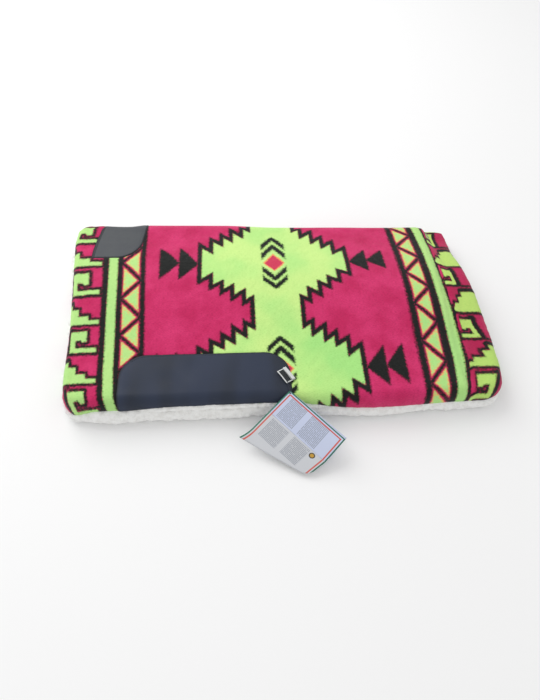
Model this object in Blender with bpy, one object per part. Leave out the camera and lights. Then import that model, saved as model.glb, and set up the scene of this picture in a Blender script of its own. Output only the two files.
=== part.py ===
"""Western saddle pad, folded in half over its spine with the patterned plush cover outside.

Metres, +Z up. X runs along the horse's spine, with the front of the pad at -X. The near-side flap
lies on top of the off-side flap, their hems are at -Y and the fold is at +Y. The origin is the
middle of the flat underside. Three hinge lines let the fold open until the pad lies flat.
"""

import math

import bmesh
import bpy
from mathutils import Matrix, Vector

# Pad, over its cover: front hem to rear hem, and near-side hem to off-side hem across the spine
PAD_WIDTH = 0.762
PAD_LENGTH = 0.914
FOLD_OFFSET = 0.006
COVER_THICK = 0.0070
CORE_THICK = 0.0110
LINING_THICK = 0.01225
SEAT_GAP = 0.0003

# Hems: the cover turns down over the core and meets the fleece lining at its rim
HEM_RUN = 0.018
HEM_DROP = 0.022
HEM_RIM = 0.0015
HEM_WALL = 0.0055
CORNER_RADIUS = 0.036
CORE_INSET = 0.0125
CORE_CHAMFER = 0.0034
FLEECE_BULGE = 0.005
FLEECE_LIP = 0.0014
SIDE_DRAW = 0.004
SIDE_DRAW_REACH = 0.040
HEM_DRAW = 0.003
HEM_DRAW_REACH = 0.060

# The upper flap swells in the middle, more so to the rear, and is pressed down at hem and fold
CROWN = 0.018
CROWN_LEAN = 0.4
HEM_FALL = 0.005
FOLD_FALL = 0.013
CALM_HEM = 0.070

# Two sewn creases run along the borders of the upper flap
FRONT_VALLEY_INSET = 0.025
FRONT_VALLEY_DEPTH = 0.0015
REAR_CREASE_INSET = 0.068
REAR_CREASE_DEPTH = 0.0030
CREASE_HALF_WIDTH = 0.012

# Fold: each hinge line opens by one segment angle, and the fleece leaves a small hollow inside
SEGMENT_ANGLE = math.radians(60.0)
SEAM_GAP = 0.0006
FOLD_HOLLOW = 0.0012
HOLLOW_TAPER = 0.004

# Leathers, let into the plush so that their faces lie just below the pile
LEATHER_THICK = 0.0022
LEATHER_SET = 0.0005
POCKET_RISE = 0.004
WEAR_FRONT_INSET = 0.101
WEAR_LENGTH = 0.294
WEAR_HEIGHT = 0.094
WEAR_CORNER = 0.046
WITHERS_FRONT_INSET = 0.041
WITHERS_WIDTH = 0.087
WITHERS_REACH = 0.130
WITHERS_CORNER = 0.045

# Woven label, folded over at one long side and lifted at the other by the tie
LABEL_LENGTH = 0.028
LABEL_WIDTH = 0.018
LABEL_THICK = 0.0007
LABEL_FOLD_RADIUS = 0.0012
LABEL_FLAP = 0.006
LABEL_HEADING = math.radians(-57.0)
LABEL_SETBACK = 0.009
LABEL_CORNER_INSET = 0.027
LABEL_HOLE_RADIUS = 0.0013
LABEL_HOLE_INSET = 0.0030

# Tie, a closed loop of cord through the label and the hang tag
TIE_DIAMETER = 0.0010
TIE_BEND = 0.0032
TIE_LENGTH = 0.024
TIE_HEADING = math.radians(-82.0)

# Hang tag: a creased front leaf of two panels, and a back sheet behind the upper one
TAG_WIDTH = 0.114
TAG_HEIGHT = 0.100
TAG_THICK = 0.0005
TAG_HEADING = math.radians(-43.0)
TAG_SIDE_SLOPE = math.radians(12.0)
TAG_HOLE_RADIUS = 0.0013
TAG_HOLE_INSET = 0.0035
SHEET_TURN = math.radians(1.5)
SHEET_MARGIN = 0.006

# Fineness of the facets
MIDDLE_STATIONS = 6
FLAP_STEPS = 5
ARC_STEPS = 4
CORNER_STEPS = 4
ROUND_SIDES = 8
HOLE_SIDES = 12

# Depths below the outer face of the cover
STACK_HALF = COVER_THICK + CORE_THICK + LINING_THICK + 2.5 * SEAT_GAP
STACK = 2.0 * STACK_HALF
CORE_TOP = COVER_THICK + SEAT_GAP
CORE_UNDER = CORE_TOP + CORE_THICK
LINING_TOP = CORE_UNDER + SEAT_GAP
LINING_RIM = HEM_DROP + SEAT_GAP
FLEECE_FACE = STACK_HALF - 0.5 * SEAT_GAP
FOLD_FACE = STACK_HALF - FOLD_HOLLOW
HALF_SEGMENT = 0.5 * SEGMENT_ANGLE


def ellipse_quarter(run, drop):
    """Length of a quarter of an ellipse, by Ramanujan's formula."""
    return 0.25 * math.pi * (3.0 * (run + drop) - math.sqrt((3.0 * run + drop) * (run + 3.0 * drop)))


# Flat runs of the two flaps, from hem line to fold
HEM_SAVING = ellipse_quarter(HEM_RUN, HEM_DROP) - HEM_RUN
NEAR_FLAT = 0.5 * PAD_LENGTH + FOLD_OFFSET - 0.5 * math.pi * STACK_HALF - HEM_SAVING
OFF_FLAT = NEAR_FLAT - 2.0 * FOLD_OFFSET
FOLD_Y = 0.5 * (NEAR_FLAT - STACK_HALF)
FLAT_START = CORNER_RADIUS + HEM_RUN + 0.006


def smooth(t):
    """0 below t = 0, 1 above t = 1, and an even rise between."""
    t = min(max(t, 0.0), 1.0)
    return t * t * (3.0 - 2.0 * t)


def quarter(t):
    """Height of a quarter circle of radius 1 at t from its foot: 0 at t = 0, 1 from t = 1."""
    t = min(max(t, 0.0), 1.0)
    return math.sqrt(1.0 - (1.0 - t) ** 2)


def side_inset(x):
    """Distance inwards from the nearer side hem."""
    return 0.5 * PAD_WIDTH - abs(x)


def hem_inset(side, reach):
    """Distance inwards from the hem line, whose corners are round."""
    if side < CORNER_RADIUS and reach < CORNER_RADIUS:
        return CORNER_RADIUS - math.hypot(CORNER_RADIUS - side, CORNER_RADIUS - reach)
    return min(side, reach)


def hem_reach(side, inset):
    """Distance from the front line of the hem at which a section reaches an inset."""
    if side >= CORNER_RADIUS:
        return inset
    if inset >= side:
        return CORNER_RADIUS + inset - side
    return CORNER_RADIUS - math.sqrt((CORNER_RADIUS - inset) ** 2 - (CORNER_RADIUS - side) ** 2)


def swell(x, y):
    """Thickness of the upper half of the folded stack at a place, as a share of its plain one."""
    along = 2.0 * x / PAD_WIDTH
    near = FOLD_Y - NEAR_FLAT + CALM_HEM
    across = min(max((y - near) / (FOLD_Y + STACK_HALF - near), 0.0), 1.0)
    crown = CROWN * (1.0 + CROWN_LEAN * (along - along**2)) * math.sin(math.pi * across) ** 2
    hem = HEM_FALL * (1.0 + CROWN_LEAN * along) * (1.0 - smooth(across))
    fold = FOLD_FALL * max(0.0, 1.0 - ((along - 0.25) / 1.25) ** 2) * smooth(across)
    return 1.0 + (crown - hem - fold) / STACK_HALF


def swollen(x, y, z):
    """The place that a point of the plain stack takes in the swollen one."""
    above = max(z - STACK_HALF, 0.0)
    return Vector((x, y, min(z, STACK_HALF) + above * swell(x, y)))


def groove(distance, depth):
    """Depth of a sewn crease at a distance from its line."""
    if abs(distance) >= CREASE_HALF_WIDTH:
        return 0.0
    return 0.5 * depth * (1.0 + math.cos(math.pi * distance / CREASE_HALF_WIDTH))


def crease(x):
    """Depth of the two sewn creases at x."""
    front = groove(0.5 * PAD_WIDTH + x - FRONT_VALLEY_INSET, FRONT_VALLEY_DEPTH)
    return front + groove(0.5 * PAD_WIDTH - x - REAR_CREASE_INSET, REAR_CREASE_DEPTH)


def fold_point(x, angle, depth):
    """A point of the fold: the angle runs from 0 on top, round the back, to pi underneath."""
    radius = STACK_HALF - depth
    return swollen(x, FOLD_Y + radius * math.sin(angle), STACK_HALF + radius * math.cos(angle))


class Flap:
    """One half of the folded pad. Depth is measured inwards from its outer face."""

    def __init__(self, flat, upper):
        self.flat = flat
        self.upper = upper
        self.hem_y = FOLD_Y - flat

    def crease(self, x):
        return crease(x) if self.upper else 0.0

    def centre_reach(self):
        """Reach at which the cover would pass the pad's middle line if it went on flat."""
        shift = -FOLD_OFFSET if self.upper else FOLD_OFFSET
        return self.flat + 0.5 * math.pi * STACK_HALF + shift

    def point(self, x, reach, depth):
        """A point at x, at a distance from the hem line, at a depth."""
        side_fade = max(0.0, 1.0 - side_inset(x) / SIDE_DRAW_REACH) ** 2
        side_draw = SIDE_DRAW * side_fade * math.sin(math.pi * min(max(reach / self.flat, 0.0), 1.0))
        hem_fade = max(0.0, 1.0 - max(reach, 0.0) / HEM_DRAW_REACH) ** 2
        hem_draw = HEM_DRAW * hem_fade * math.cos(math.pi * x / PAD_WIDTH)
        z = STACK - depth if self.upper else depth
        return swollen(x - math.copysign(side_draw, x), self.hem_y + reach + hem_draw, z)

    def bend(self, x, part, depth, past=0.0):
        """A point on the flap's own stretch of the fold, from its start at 0 to its hinge line at 1."""
        end = HALF_SEGMENT - math.asin((0.5 * SEAM_GAP - past) / (STACK_HALF - depth))
        angle = part * end
        return fold_point(x, angle if self.upper else math.pi - angle, depth)


class Layer:
    """A layer of the pad: the insets of its edge stations, and the depths of its two faces."""

    def __init__(self, edge, outer, inner):
        self.edge = edge
        self.outer = outer
        self.inner = inner

    def side_stations(self, crease_inset):
        """Insets of the sections near one side: the layer's edge, then those all layers share."""
        crease_at = [crease_inset + CREASE_HALF_WIDTH * k for k in (-1.0, 0.0, 1.0)]
        stations = list(self.edge)
        for inset in sorted([CORNER_RADIUS] + crease_at):
            if inset - stations[-1] > 0.003:
                stations.append(inset)
        return stations

    def sections(self):
        """The x of every cross-section, front to rear."""
        front = [-0.5 * PAD_WIDTH + inset for inset in self.side_stations(FRONT_VALLEY_INSET)]
        rear = [0.5 * PAD_WIDTH - inset for inset in self.side_stations(REAR_CREASE_INSET)]
        step = (rear[-1] - front[-1]) / (MIDDLE_STATIONS + 1)
        middle = [front[-1] + step * i for i in range(1, MIDDLE_STATIONS + 1)]
        return front + middle + rear[::-1]

    def reaches(self, side, flat):
        """Distances from the hem line of the points along one section of a flap."""
        hem = [hem_reach(side, inset) for inset in self.edge]
        run = flat - HOLLOW_TAPER - FLAT_START
        return hem + [FLAT_START + run * i / (FLAP_STEPS - 1) for i in range(FLAP_STEPS)] + [flat]


def cover_outer(inset, dip, face):
    turn = quarter(inset / HEM_RUN)
    return (HEM_DROP - HEM_RIM) * (1.0 - turn) + dip * turn


def cover_inner(inset, dip, face):
    turn = quarter((inset - HEM_WALL) / (HEM_RUN - HEM_WALL))
    return COVER_THICK + (HEM_DROP - COVER_THICK) * (1.0 - turn)


def core_outer(inset, dip, face):
    turn = quarter((inset - CORE_INSET) / (HEM_RUN - CORE_INSET))
    return CORE_TOP + CORE_CHAMFER * (1.0 - turn)


def core_inner(inset, dip, face):
    return CORE_UNDER


def fleece_round(inset, face):
    """How far each face of the lining's rounded edge falls back from its full thickness."""
    half = 0.5 * (face - LINING_RIM - FLEECE_LIP)
    return half * (1.0 - quarter(1.0 + inset / FLEECE_BULGE))


def lining_outer(inset, dip, face):
    rise = min(max((inset - HEM_WALL) / (CORE_INSET - HEM_WALL), 0.0), 1.0)
    return LINING_RIM + (LINING_TOP - LINING_RIM) * rise + fleece_round(inset, face)


def lining_inner(inset, dip, face):
    return face - fleece_round(inset, face)


COVER_EDGE = [0.0, 0.25 * HEM_WALL, HEM_WALL, 0.5 * (HEM_WALL + HEM_RUN), HEM_RUN]
LINING_EDGE = [-FLEECE_BULGE, -0.7 * FLEECE_BULGE, 0.0, HEM_WALL, CORE_INSET, HEM_RUN]
COVER = Layer(COVER_EDGE, cover_outer, cover_inner)
CORE = Layer([CORE_INSET, HEM_RUN], core_outer, core_inner)
LINING = Layer(LINING_EDGE, lining_outer, lining_inner)


def new_object(name, mesh, material):
    """Puts a finished mesh into a named object with its material, smooth between its sharp edges."""
    data = bpy.data.meshes.new(name)
    mesh.to_mesh(data)
    mesh.free()
    data.materials.append(material)
    data.shade_smooth()
    data.set_sharp_from_angle(angle=math.radians(40.0))
    piece = bpy.data.objects.new(name, data)
    bpy.context.scene.collection.objects.link(piece)
    return piece


def slab(name, outer, inner, material):
    """Closes the space between two grids of points, one row to a section, into one solid."""
    mesh = bmesh.new()
    top = [[mesh.verts.new(point) for point in row] for row in outer]
    under = [[mesh.verts.new(point) for point in row] for row in inner]
    rows, steps = len(outer), len(outer[0])
    for i in range(rows - 1):
        for j in range(steps - 1):
            mesh.faces.new((top[i][j], top[i + 1][j], top[i + 1][j + 1], top[i][j + 1]))
            mesh.faces.new((under[i][j], under[i][j + 1], under[i + 1][j + 1], under[i + 1][j]))
    rim = [(i, 0) for i in range(rows)]
    rim += [(rows - 1, j) for j in range(1, steps)]
    rim += [(i, steps - 1) for i in range(rows - 2, -1, -1)]
    rim += [(0, j) for j in range(steps - 2, 0, -1)]
    for (i, j), (k, m) in zip(rim, rim[1:] + rim[:1]):
        mesh.faces.new((top[i][j], under[i][j], under[k][m], top[k][m]))
    bmesh.ops.recalc_face_normals(mesh, faces=mesh.faces)
    return new_object(name, mesh, material)


def surface(name, colour, roughness):
    """The material of one piece."""
    material = bpy.data.materials.new(name + "_surface")
    material.use_nodes = True
    shader = material.node_tree.nodes["Principled BSDF"]
    shader.inputs["Base Color"].default_value = (*colour, 1.0)
    shader.inputs["Roughness"].default_value = roughness
    return material


def plush(name):
    return surface(name, (0.58, 0.035, 0.13), 0.95)


def felt(name):
    return surface(name, (0.36, 0.34, 0.31), 0.95)


def fleece(name):
    return surface(name, (0.80, 0.78, 0.74), 0.95)


def leather(name):
    return surface(name, (0.055, 0.065, 0.085), 0.55)


def paper(name):
    return surface(name, (0.66, 0.70, 0.72), 0.6)


def flap_face(flap, layer, depth_at):
    """One face of a layer on a flap: a row of points for every cross-section."""
    rows = []
    for x in layer.sections():
        side = side_inset(x)
        row = []
        for reach in layer.reaches(side, flap.flat):
            face = FLEECE_FACE if reach < flap.flat else FOLD_FACE
            depth = depth_at(hem_inset(side, reach), flap.crease(x), face)
            row.append(flap.point(x, reach, depth))
        depth = depth_at(side, flap.crease(x), FOLD_FACE)
        for step in range(1, ARC_STEPS // 2 + 1):
            row.append(flap.bend(x, 2.0 * step / ARC_STEPS, depth))
        rows.append(row)
    return rows


def fold_face(first_angle, layer, depth_at):
    """One face of a layer on a segment of the fold. The creases fade out over its lower half."""
    rows = []
    for x in layer.sections():
        row = []
        for step in range(ARC_STEPS + 1):
            nominal = first_angle + SEGMENT_ANGLE * step / ARC_STEPS
            fade = min((math.pi - HALF_SEGMENT - nominal) / SEGMENT_ANGLE, 1.0)
            depth = depth_at(side_inset(x), crease(x) * fade, FOLD_FACE)
            trim = math.asin(0.5 * SEAM_GAP / (STACK_HALF - depth))
            angle = first_angle + trim + (SEGMENT_ANGLE - 2.0 * trim) * step / ARC_STEPS
            row.append(fold_point(x, angle, depth))
        rows.append(row)
    return rows


def layer_piece(name, face, place, layer, material):
    """One layer of a flap or of a fold segment."""
    return slab(name, face(place, layer, layer.outer), face(place, layer, layer.inner), material(name))


def hem_normal(inset):
    """Inward normal of the cover's hem curve: its share along the reach, and its share in depth."""
    angle = math.acos(1.0 - inset / HEM_RUN)
    return Vector(((HEM_DROP - HEM_RIM) * math.cos(angle), HEM_RUN * math.sin(angle))).normalized()


def round_corner(radius):
    """Steps round a quarter circle: the distance gone along one side, and that lost on the other."""
    angles = [0.5 * math.pi * i / CORNER_STEPS for i in range(CORNER_STEPS + 1)]
    return [(radius * (1.0 - math.cos(a)), radius * (1.0 - math.sin(a))) for a in angles]


def wear_outline(grow):
    """Sections of a side leather, as x and the height of its edge above the hem line."""
    rear = WEAR_REAR + grow
    front = WEAR_REAR - WEAR_LENGTH - grow
    height = WEAR_HEIGHT + grow
    corner = round_corner(WEAR_CORNER + grow)
    outline = [(front + along, height - lost) for along, lost in corner]
    outline.append((0.5 * (front + rear), height))
    return outline + [(rear - along, height - lost) for along, lost in reversed(corner)]


def wear_face(flap, grow, offset):
    """A face of a side leather, or of its pocket, at an offset inwards from the cover."""
    rows = []
    for x, height in wear_outline(grow):
        row = []
        if grow > 0.0:
            row.append(flap.point(x, offset, HEM_DROP + HEM_RIM))
        for inset in COVER_EDGE:
            normal = hem_normal(inset)
            depth = cover_outer(inset, 0.0, FLEECE_FACE) + offset * normal.y
            row.append(flap.point(x, inset + offset * normal.x, depth))
        for step in range(1, CORNER_STEPS + 1):
            reach = HEM_RUN + (height - HEM_RUN) * step / CORNER_STEPS
            row.append(flap.point(x, reach, offset))
        rows.append(row)
    return rows


def withers_outline(grow):
    """Sections of the withers leather, as x and the distance lost at its round corner."""
    front = -0.5 * PAD_WIDTH + WITHERS_FRONT_INSET - grow
    rear = front + WITHERS_WIDTH + 2.0 * grow
    corner = round_corner(WITHERS_CORNER + grow)
    straight_end = rear - WITHERS_CORNER - grow
    outline = [(front, 0.0), (0.5 * (front + straight_end), 0.0)]
    return outline + [(rear - along, lost) for along, lost in reversed(corner)]


def withers_face(flap, grow, offset):
    """A face of the withers leather on a flap, or of its pocket, up to the flap's hinge line."""
    past = SEAM_GAP if grow > 0.0 else 0.0
    rows = []
    for x, lost in withers_outline(grow):
        start = flap.centre_reach() - WITHERS_REACH - grow + lost
        row = []
        for step in range(CORNER_STEPS + 1):
            reach = start + (flap.flat - start) * step / CORNER_STEPS
            row.append(flap.point(x, reach, offset))
        for step in range(1, ARC_STEPS // 2 + 1):
            row.append(flap.bend(x, 2.0 * step / ARC_STEPS, offset, past))
        rows.append(row)
    return rows


def withers_fold_face(first_angle, grow, offset):
    """A face of the withers leather on a fold segment, or of its pocket."""
    gap = -0.5 * SEAM_GAP if grow > 0.0 else 0.5 * SEAM_GAP
    trim = math.asin(gap / (STACK_HALF - offset))
    steps = range(ARC_STEPS + 1)
    angles = [first_angle + trim + (SEGMENT_ANGLE - 2.0 * trim) * step / ARC_STEPS for step in steps]
    outline = withers_outline(grow)
    return [[fold_point(x, angle, offset) for angle in angles] for x in (outline[0][0], outline[-1][0])]


def cut_out(piece, cutter):
    """Cuts a guide solid, which isn't part of the pad, out of a piece."""
    cutter.hide_render = True
    cutter.display_type = "WIRE"
    cut = piece.modifiers.new(cutter.name, "BOOLEAN")
    cut.operation = "DIFFERENCE"
    cut.solver = "EXACT"
    cut.object = cutter


def leather_in(cover, name, face, place):
    """A leather let into a cover, with a pocket just larger than itself."""
    material = leather(name)
    under = LEATHER_SET + LEATHER_THICK
    piece = slab(name, face(place, 0.0, LEATHER_SET), face(place, 0.0, under), material)
    floor = face(place, SEAT_GAP, under + SEAT_GAP)
    cut_out(cover, slab(name + "_pocket", face(place, SEAT_GAP, -POCKET_RISE), floor, material))
    return piece


def drill(piece, centre, direction, radius):
    """Cuts a round hole through a thin piece."""
    mesh = bmesh.new()
    turn = direction.to_track_quat("Z", "Y").to_matrix().to_4x4()
    bmesh.ops.create_cone(
        mesh,
        cap_ends=True,
        segments=HOLE_SIDES,
        radius1=radius,
        radius2=radius,
        depth=2.0 * TIE_BEND,
        matrix=Matrix.Translation(centre) @ turn,
    )
    cut_out(piece, new_object(piece.name + "_drill", mesh, piece.data.materials[0]))


class Hinge:
    """An empty on a hinge line, carrying all that turns about it."""

    def __init__(self, name, place, parent=None):
        self.place = place
        self.empty = bpy.data.objects.new(name, None)
        bpy.context.scene.collection.objects.link(self.empty)
        self.empty.empty_display_size = 0.02
        if parent:
            self.empty.parent = parent.empty
            self.empty.location = place - parent.place
        else:
            self.empty.location = place

    def carry(self, *pieces):
        """Hangs pieces, with their guide solids, on the hinge without moving them."""
        for piece in pieces:
            for part in [piece] + [cut.object for cut in piece.modifiers]:
                part.data.transform(Matrix.Translation(-self.place))
                part.parent = self.empty


UP = Vector((0.0, 0.0, 1.0))
NEAR = Flap(NEAR_FLAT, True)
OFF = Flap(OFF_FLAT, False)
WEAR_REAR = -0.5 * PAD_WIDTH + WEAR_FRONT_INSET + WEAR_LENGTH

# The label lies on the cover with its folded side, and rises to the middle of the tie's bend
LABEL_CORNER_X = WEAR_REAR - LABEL_SETBACK
PAD_TOP = STACK_HALF * (1.0 + swell(LABEL_CORNER_X, NEAR.hem_y))
LABEL_SEAT = PAD_TOP + SEAT_GAP + 0.5 * LABEL_THICK
TIE_HEIGHT = PAD_TOP + SEAT_GAP + 0.5 * TIE_DIAMETER + TIE_BEND
LABEL_TILT = math.asin((TIE_HEIGHT - LABEL_SEAT) / (LABEL_WIDTH - LABEL_HOLE_INSET))
LABEL_ALONG = Vector((math.cos(LABEL_HEADING), math.sin(LABEL_HEADING), 0.0))
LABEL_LEVEL = Vector((math.sin(LABEL_HEADING), -math.cos(LABEL_HEADING), 0.0))
LABEL_ACROSS = LABEL_LEVEL * math.cos(LABEL_TILT) + UP * math.sin(LABEL_TILT)
LABEL_NORMAL = LABEL_ACROSS.cross(LABEL_ALONG)
LABEL_RISE = LABEL_WIDTH * math.sin(LABEL_TILT)
LABEL_CORNER = Vector((LABEL_CORNER_X, NEAR.hem_y + LABEL_CORNER_INSET, LABEL_SEAT + LABEL_RISE))
LABEL_HOLE = LABEL_CORNER - (LABEL_ALONG + LABEL_ACROSS) * LABEL_HOLE_INSET

TIE_DIRECTION = Vector((math.cos(TIE_HEADING), math.sin(TIE_HEADING), 0.0))
TIE_START = LABEL_HOLE + TIE_DIRECTION * TIE_BEND
TIE_END = LABEL_HOLE + TIE_DIRECTION * (TIE_LENGTH - TIE_BEND)

# The tag hangs from its hole at the end of the tie, with its far corner just clear of the ground
TAG_HOLE = LABEL_HOLE + TIE_DIRECTION * TIE_LENGTH
TAG_LEVEL = Vector((math.cos(TAG_HEADING), math.sin(TAG_HEADING), 0.0))
TAG_AWAY = Vector((math.sin(TAG_HEADING), -math.cos(TAG_HEADING), 0.0))
TAG_ALONG = TAG_LEVEL * math.cos(TAG_SIDE_SLOPE) - UP * math.sin(TAG_SIDE_SLOPE)
TAG_RAISED = TAG_LEVEL * math.sin(TAG_SIDE_SLOPE) + UP * math.cos(TAG_SIDE_SLOPE)
TAG_SIDE_FALL = (TAG_WIDTH - TAG_HOLE_INSET) * math.sin(TAG_SIDE_SLOPE)
TAG_FALL = TAG_HOLE.z - TAG_SIDE_FALL - SEAT_GAP - TAG_THICK
TAG_ROLL = math.asin(TAG_FALL / (TAG_HEIGHT - TAG_HOLE_INSET) / math.cos(TAG_SIDE_SLOPE))
TAG_DOWN = TAG_AWAY * math.cos(TAG_ROLL) - TAG_RAISED * math.sin(TAG_ROLL)
TAG_NORMAL = TAG_DOWN.cross(TAG_ALONG)
TAG_CORNER = TAG_HOLE - (TAG_ALONG + TAG_DOWN) * TAG_HOLE_INSET
PANEL_HEIGHT = 0.5 * (TAG_HEIGHT - SEAT_GAP)


def make_label(name):
    """The woven label: a strip folded over half round at its low side, with a hole at one corner."""
    low = LABEL_CORNER - LABEL_ALONG * LABEL_LENGTH - LABEL_ACROSS * LABEL_WIDTH
    centre = low + LABEL_NORMAL * LABEL_FOLD_RADIUS
    path = [(centre + LABEL_NORMAL * LABEL_FOLD_RADIUS + LABEL_ACROSS * LABEL_FLAP, LABEL_NORMAL)]
    for step in range(ROUND_SIDES + 1):
        angle = math.pi * step / ROUND_SIDES
        normal = LABEL_NORMAL * math.cos(angle) - LABEL_ACROSS * math.sin(angle)
        path.append((centre + normal * LABEL_FOLD_RADIUS, normal))
    path.append((low + LABEL_ACROSS * LABEL_WIDTH, -LABEL_NORMAL))
    half = 0.5 * LABEL_THICK
    ends = [Vector(), LABEL_ALONG * LABEL_LENGTH]
    outer = [[point + normal * half + end for point, normal in path] for end in ends]
    inner = [[point - normal * half + end for point, normal in path] for end in ends]
    label = slab(name, outer, inner, surface(name, (0.82, 0.82, 0.80), 0.8))
    drill(label, LABEL_HOLE, LABEL_NORMAL, LABEL_HOLE_RADIUS)
    return label


def make_tie(name):
    """The tie: two straight runs of cord joined by half-round bends, in an upright plane."""
    side = TIE_DIRECTION.cross(UP)
    mesh = bmesh.new()
    rings = []
    for centre, sign in ((TIE_START, 1.0), (TIE_END, -1.0)):
        for step in range(ROUND_SIDES + 1):
            angle = math.pi * step / ROUND_SIDES
            radial = (UP * math.cos(angle) - TIE_DIRECTION * math.sin(angle)) * sign
            ring = []
            for k in range(ROUND_SIDES):
                turn = 2.0 * math.pi * k / ROUND_SIDES
                spoke = radial * math.cos(turn) + side * math.sin(turn)
                ring.append(mesh.verts.new(centre + radial * TIE_BEND + spoke * 0.5 * TIE_DIAMETER))
            rings.append(ring)
    for ring, following in zip(rings, rings[1:] + rings[:1]):
        for k in range(ROUND_SIDES):
            m = (k + 1) % ROUND_SIDES
            mesh.faces.new((ring[k], ring[m], following[m], following[k]))
    bmesh.ops.recalc_face_normals(mesh, faces=mesh.faces)
    return new_object(name, mesh, surface(name, (0.03, 0.03, 0.035), 0.7))


def make_sheet(name, corner, along, down):
    """A flat sheet of the tag, from one corner, with its two sides as vectors."""
    lift = down.cross(along).normalized() * 0.5 * TAG_THICK
    plan = [[corner + along * a + down * b for b in (0.0, 1.0)] for a in (0.0, 1.0)]
    outer = [[point + lift for point in row] for row in plan]
    inner = [[point - lift for point in row] for row in plan]
    return slab(name, outer, inner, paper(name))


def make_back_sheet(name):
    """The sheet behind the upper panel, turned about the tag's hole so that its edge shows."""
    along = TAG_ALONG * math.cos(SHEET_TURN) - TAG_DOWN * math.sin(SHEET_TURN)
    down = TAG_DOWN * math.cos(SHEET_TURN) + TAG_ALONG * math.sin(SHEET_TURN)
    hole = TAG_HOLE - TAG_NORMAL * (TAG_THICK + SEAT_GAP)
    corner = hole - (along + down) * TAG_HOLE_INSET
    sheet = make_sheet(name, corner, along * TAG_WIDTH, down * (PANEL_HEIGHT - SHEET_MARGIN))
    drill(sheet, hole, TAG_NORMAL, TAG_HOLE_RADIUS)
    return sheet


def build_flap(prefix, flap):
    """The layers of one flap, with its side leather and its end of the withers leather."""
    cover = layer_piece(prefix + "_cover", flap_face, flap, COVER, plush)
    core = layer_piece(prefix + "_core", flap_face, flap, CORE, felt)
    lining = layer_piece(prefix + "_lining", flap_face, flap, LINING, fleece)
    wear = leather_in(cover, prefix + "_wear_leather", wear_face, flap)
    withers = leather_in(cover, prefix + "_withers_leather", withers_face, flap)
    return cover, core, lining, wear, withers


def build_segment(prefix, first_angle):
    """The layers of one segment of the fold, with its part of the withers leather."""
    cover = layer_piece(prefix + "_cover", fold_face, first_angle, COVER, plush)
    core = layer_piece(prefix + "_core", fold_face, first_angle, CORE, felt)
    lining = layer_piece(prefix + "_lining", fold_face, first_angle, LINING, fleece)
    withers = leather_in(cover, prefix + "_withers_leather", withers_fold_face, first_angle)
    return cover, core, lining, withers


for leftover in list(bpy.data.objects):
    bpy.data.objects.remove(leftover)

# The hinge lines lie on the outer face of the plain fold
side_y = FOLD_Y + STACK_HALF * math.sin(HALF_SEGMENT)
side_rise = STACK_HALF * math.cos(HALF_SEGMENT)
lower_hinge = Hinge("lower_fold_hinge", Vector((0.0, side_y, STACK_HALF - side_rise)))
middle_hinge = Hinge("middle_fold_hinge", Vector((0.0, FOLD_Y + STACK_HALF, STACK_HALF)), lower_hinge)
upper_hinge = Hinge("upper_fold_hinge", Vector((0.0, side_y, STACK_HALF + side_rise)), middle_hinge)
tie_hinge = Hinge("tie_hinge", TIE_START, upper_hinge)
crease_place = TAG_CORNER + TAG_DOWN * 0.5 * TAG_HEIGHT + TAG_NORMAL * 0.5 * TAG_THICK
crease_hinge = Hinge("tag_crease_hinge", crease_place, tie_hinge)

build_flap("off", OFF)
lower_hinge.carry(*build_segment("spine_lower", HALF_SEGMENT + SEGMENT_ANGLE))
middle_hinge.carry(*build_segment("spine_upper", HALF_SEGMENT))
upper_hinge.carry(*build_flap("near", NEAR))
upper_hinge.carry(make_label("woven_label"))

upper_panel = make_sheet("tag_upper_panel", TAG_CORNER, TAG_ALONG * TAG_WIDTH, TAG_DOWN * PANEL_HEIGHT)
drill(upper_panel, TAG_HOLE, TAG_NORMAL, TAG_HOLE_RADIUS)
tie_hinge.carry(make_tie("tag_tie"), upper_panel, make_back_sheet("tag_back_sheet"))

lower_start = TAG_CORNER + TAG_DOWN * (PANEL_HEIGHT + SEAT_GAP)
lower_panel = make_sheet("tag_lower_panel", lower_start, TAG_ALONG * TAG_WIDTH, TAG_DOWN * PANEL_HEIGHT)
crease_hinge.carry(lower_panel)
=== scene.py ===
# %% [markdown]
# # A western saddle pad, folded over its spine
# The pad is a sandwich: a patterned plush cover, a felt core and a white fleece lining. It lies
# folded in half, cover outside, so the near-side flap is on top and the fold is at the back.
# Its layers and leathers are worked out as grids of points on one imaginary folded stack. One
# settling step then bends that stack into the real, slightly slumped shape. All layers stay
# together that way, and each of them is its own piece.

import math
from types import SimpleNamespace

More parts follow.
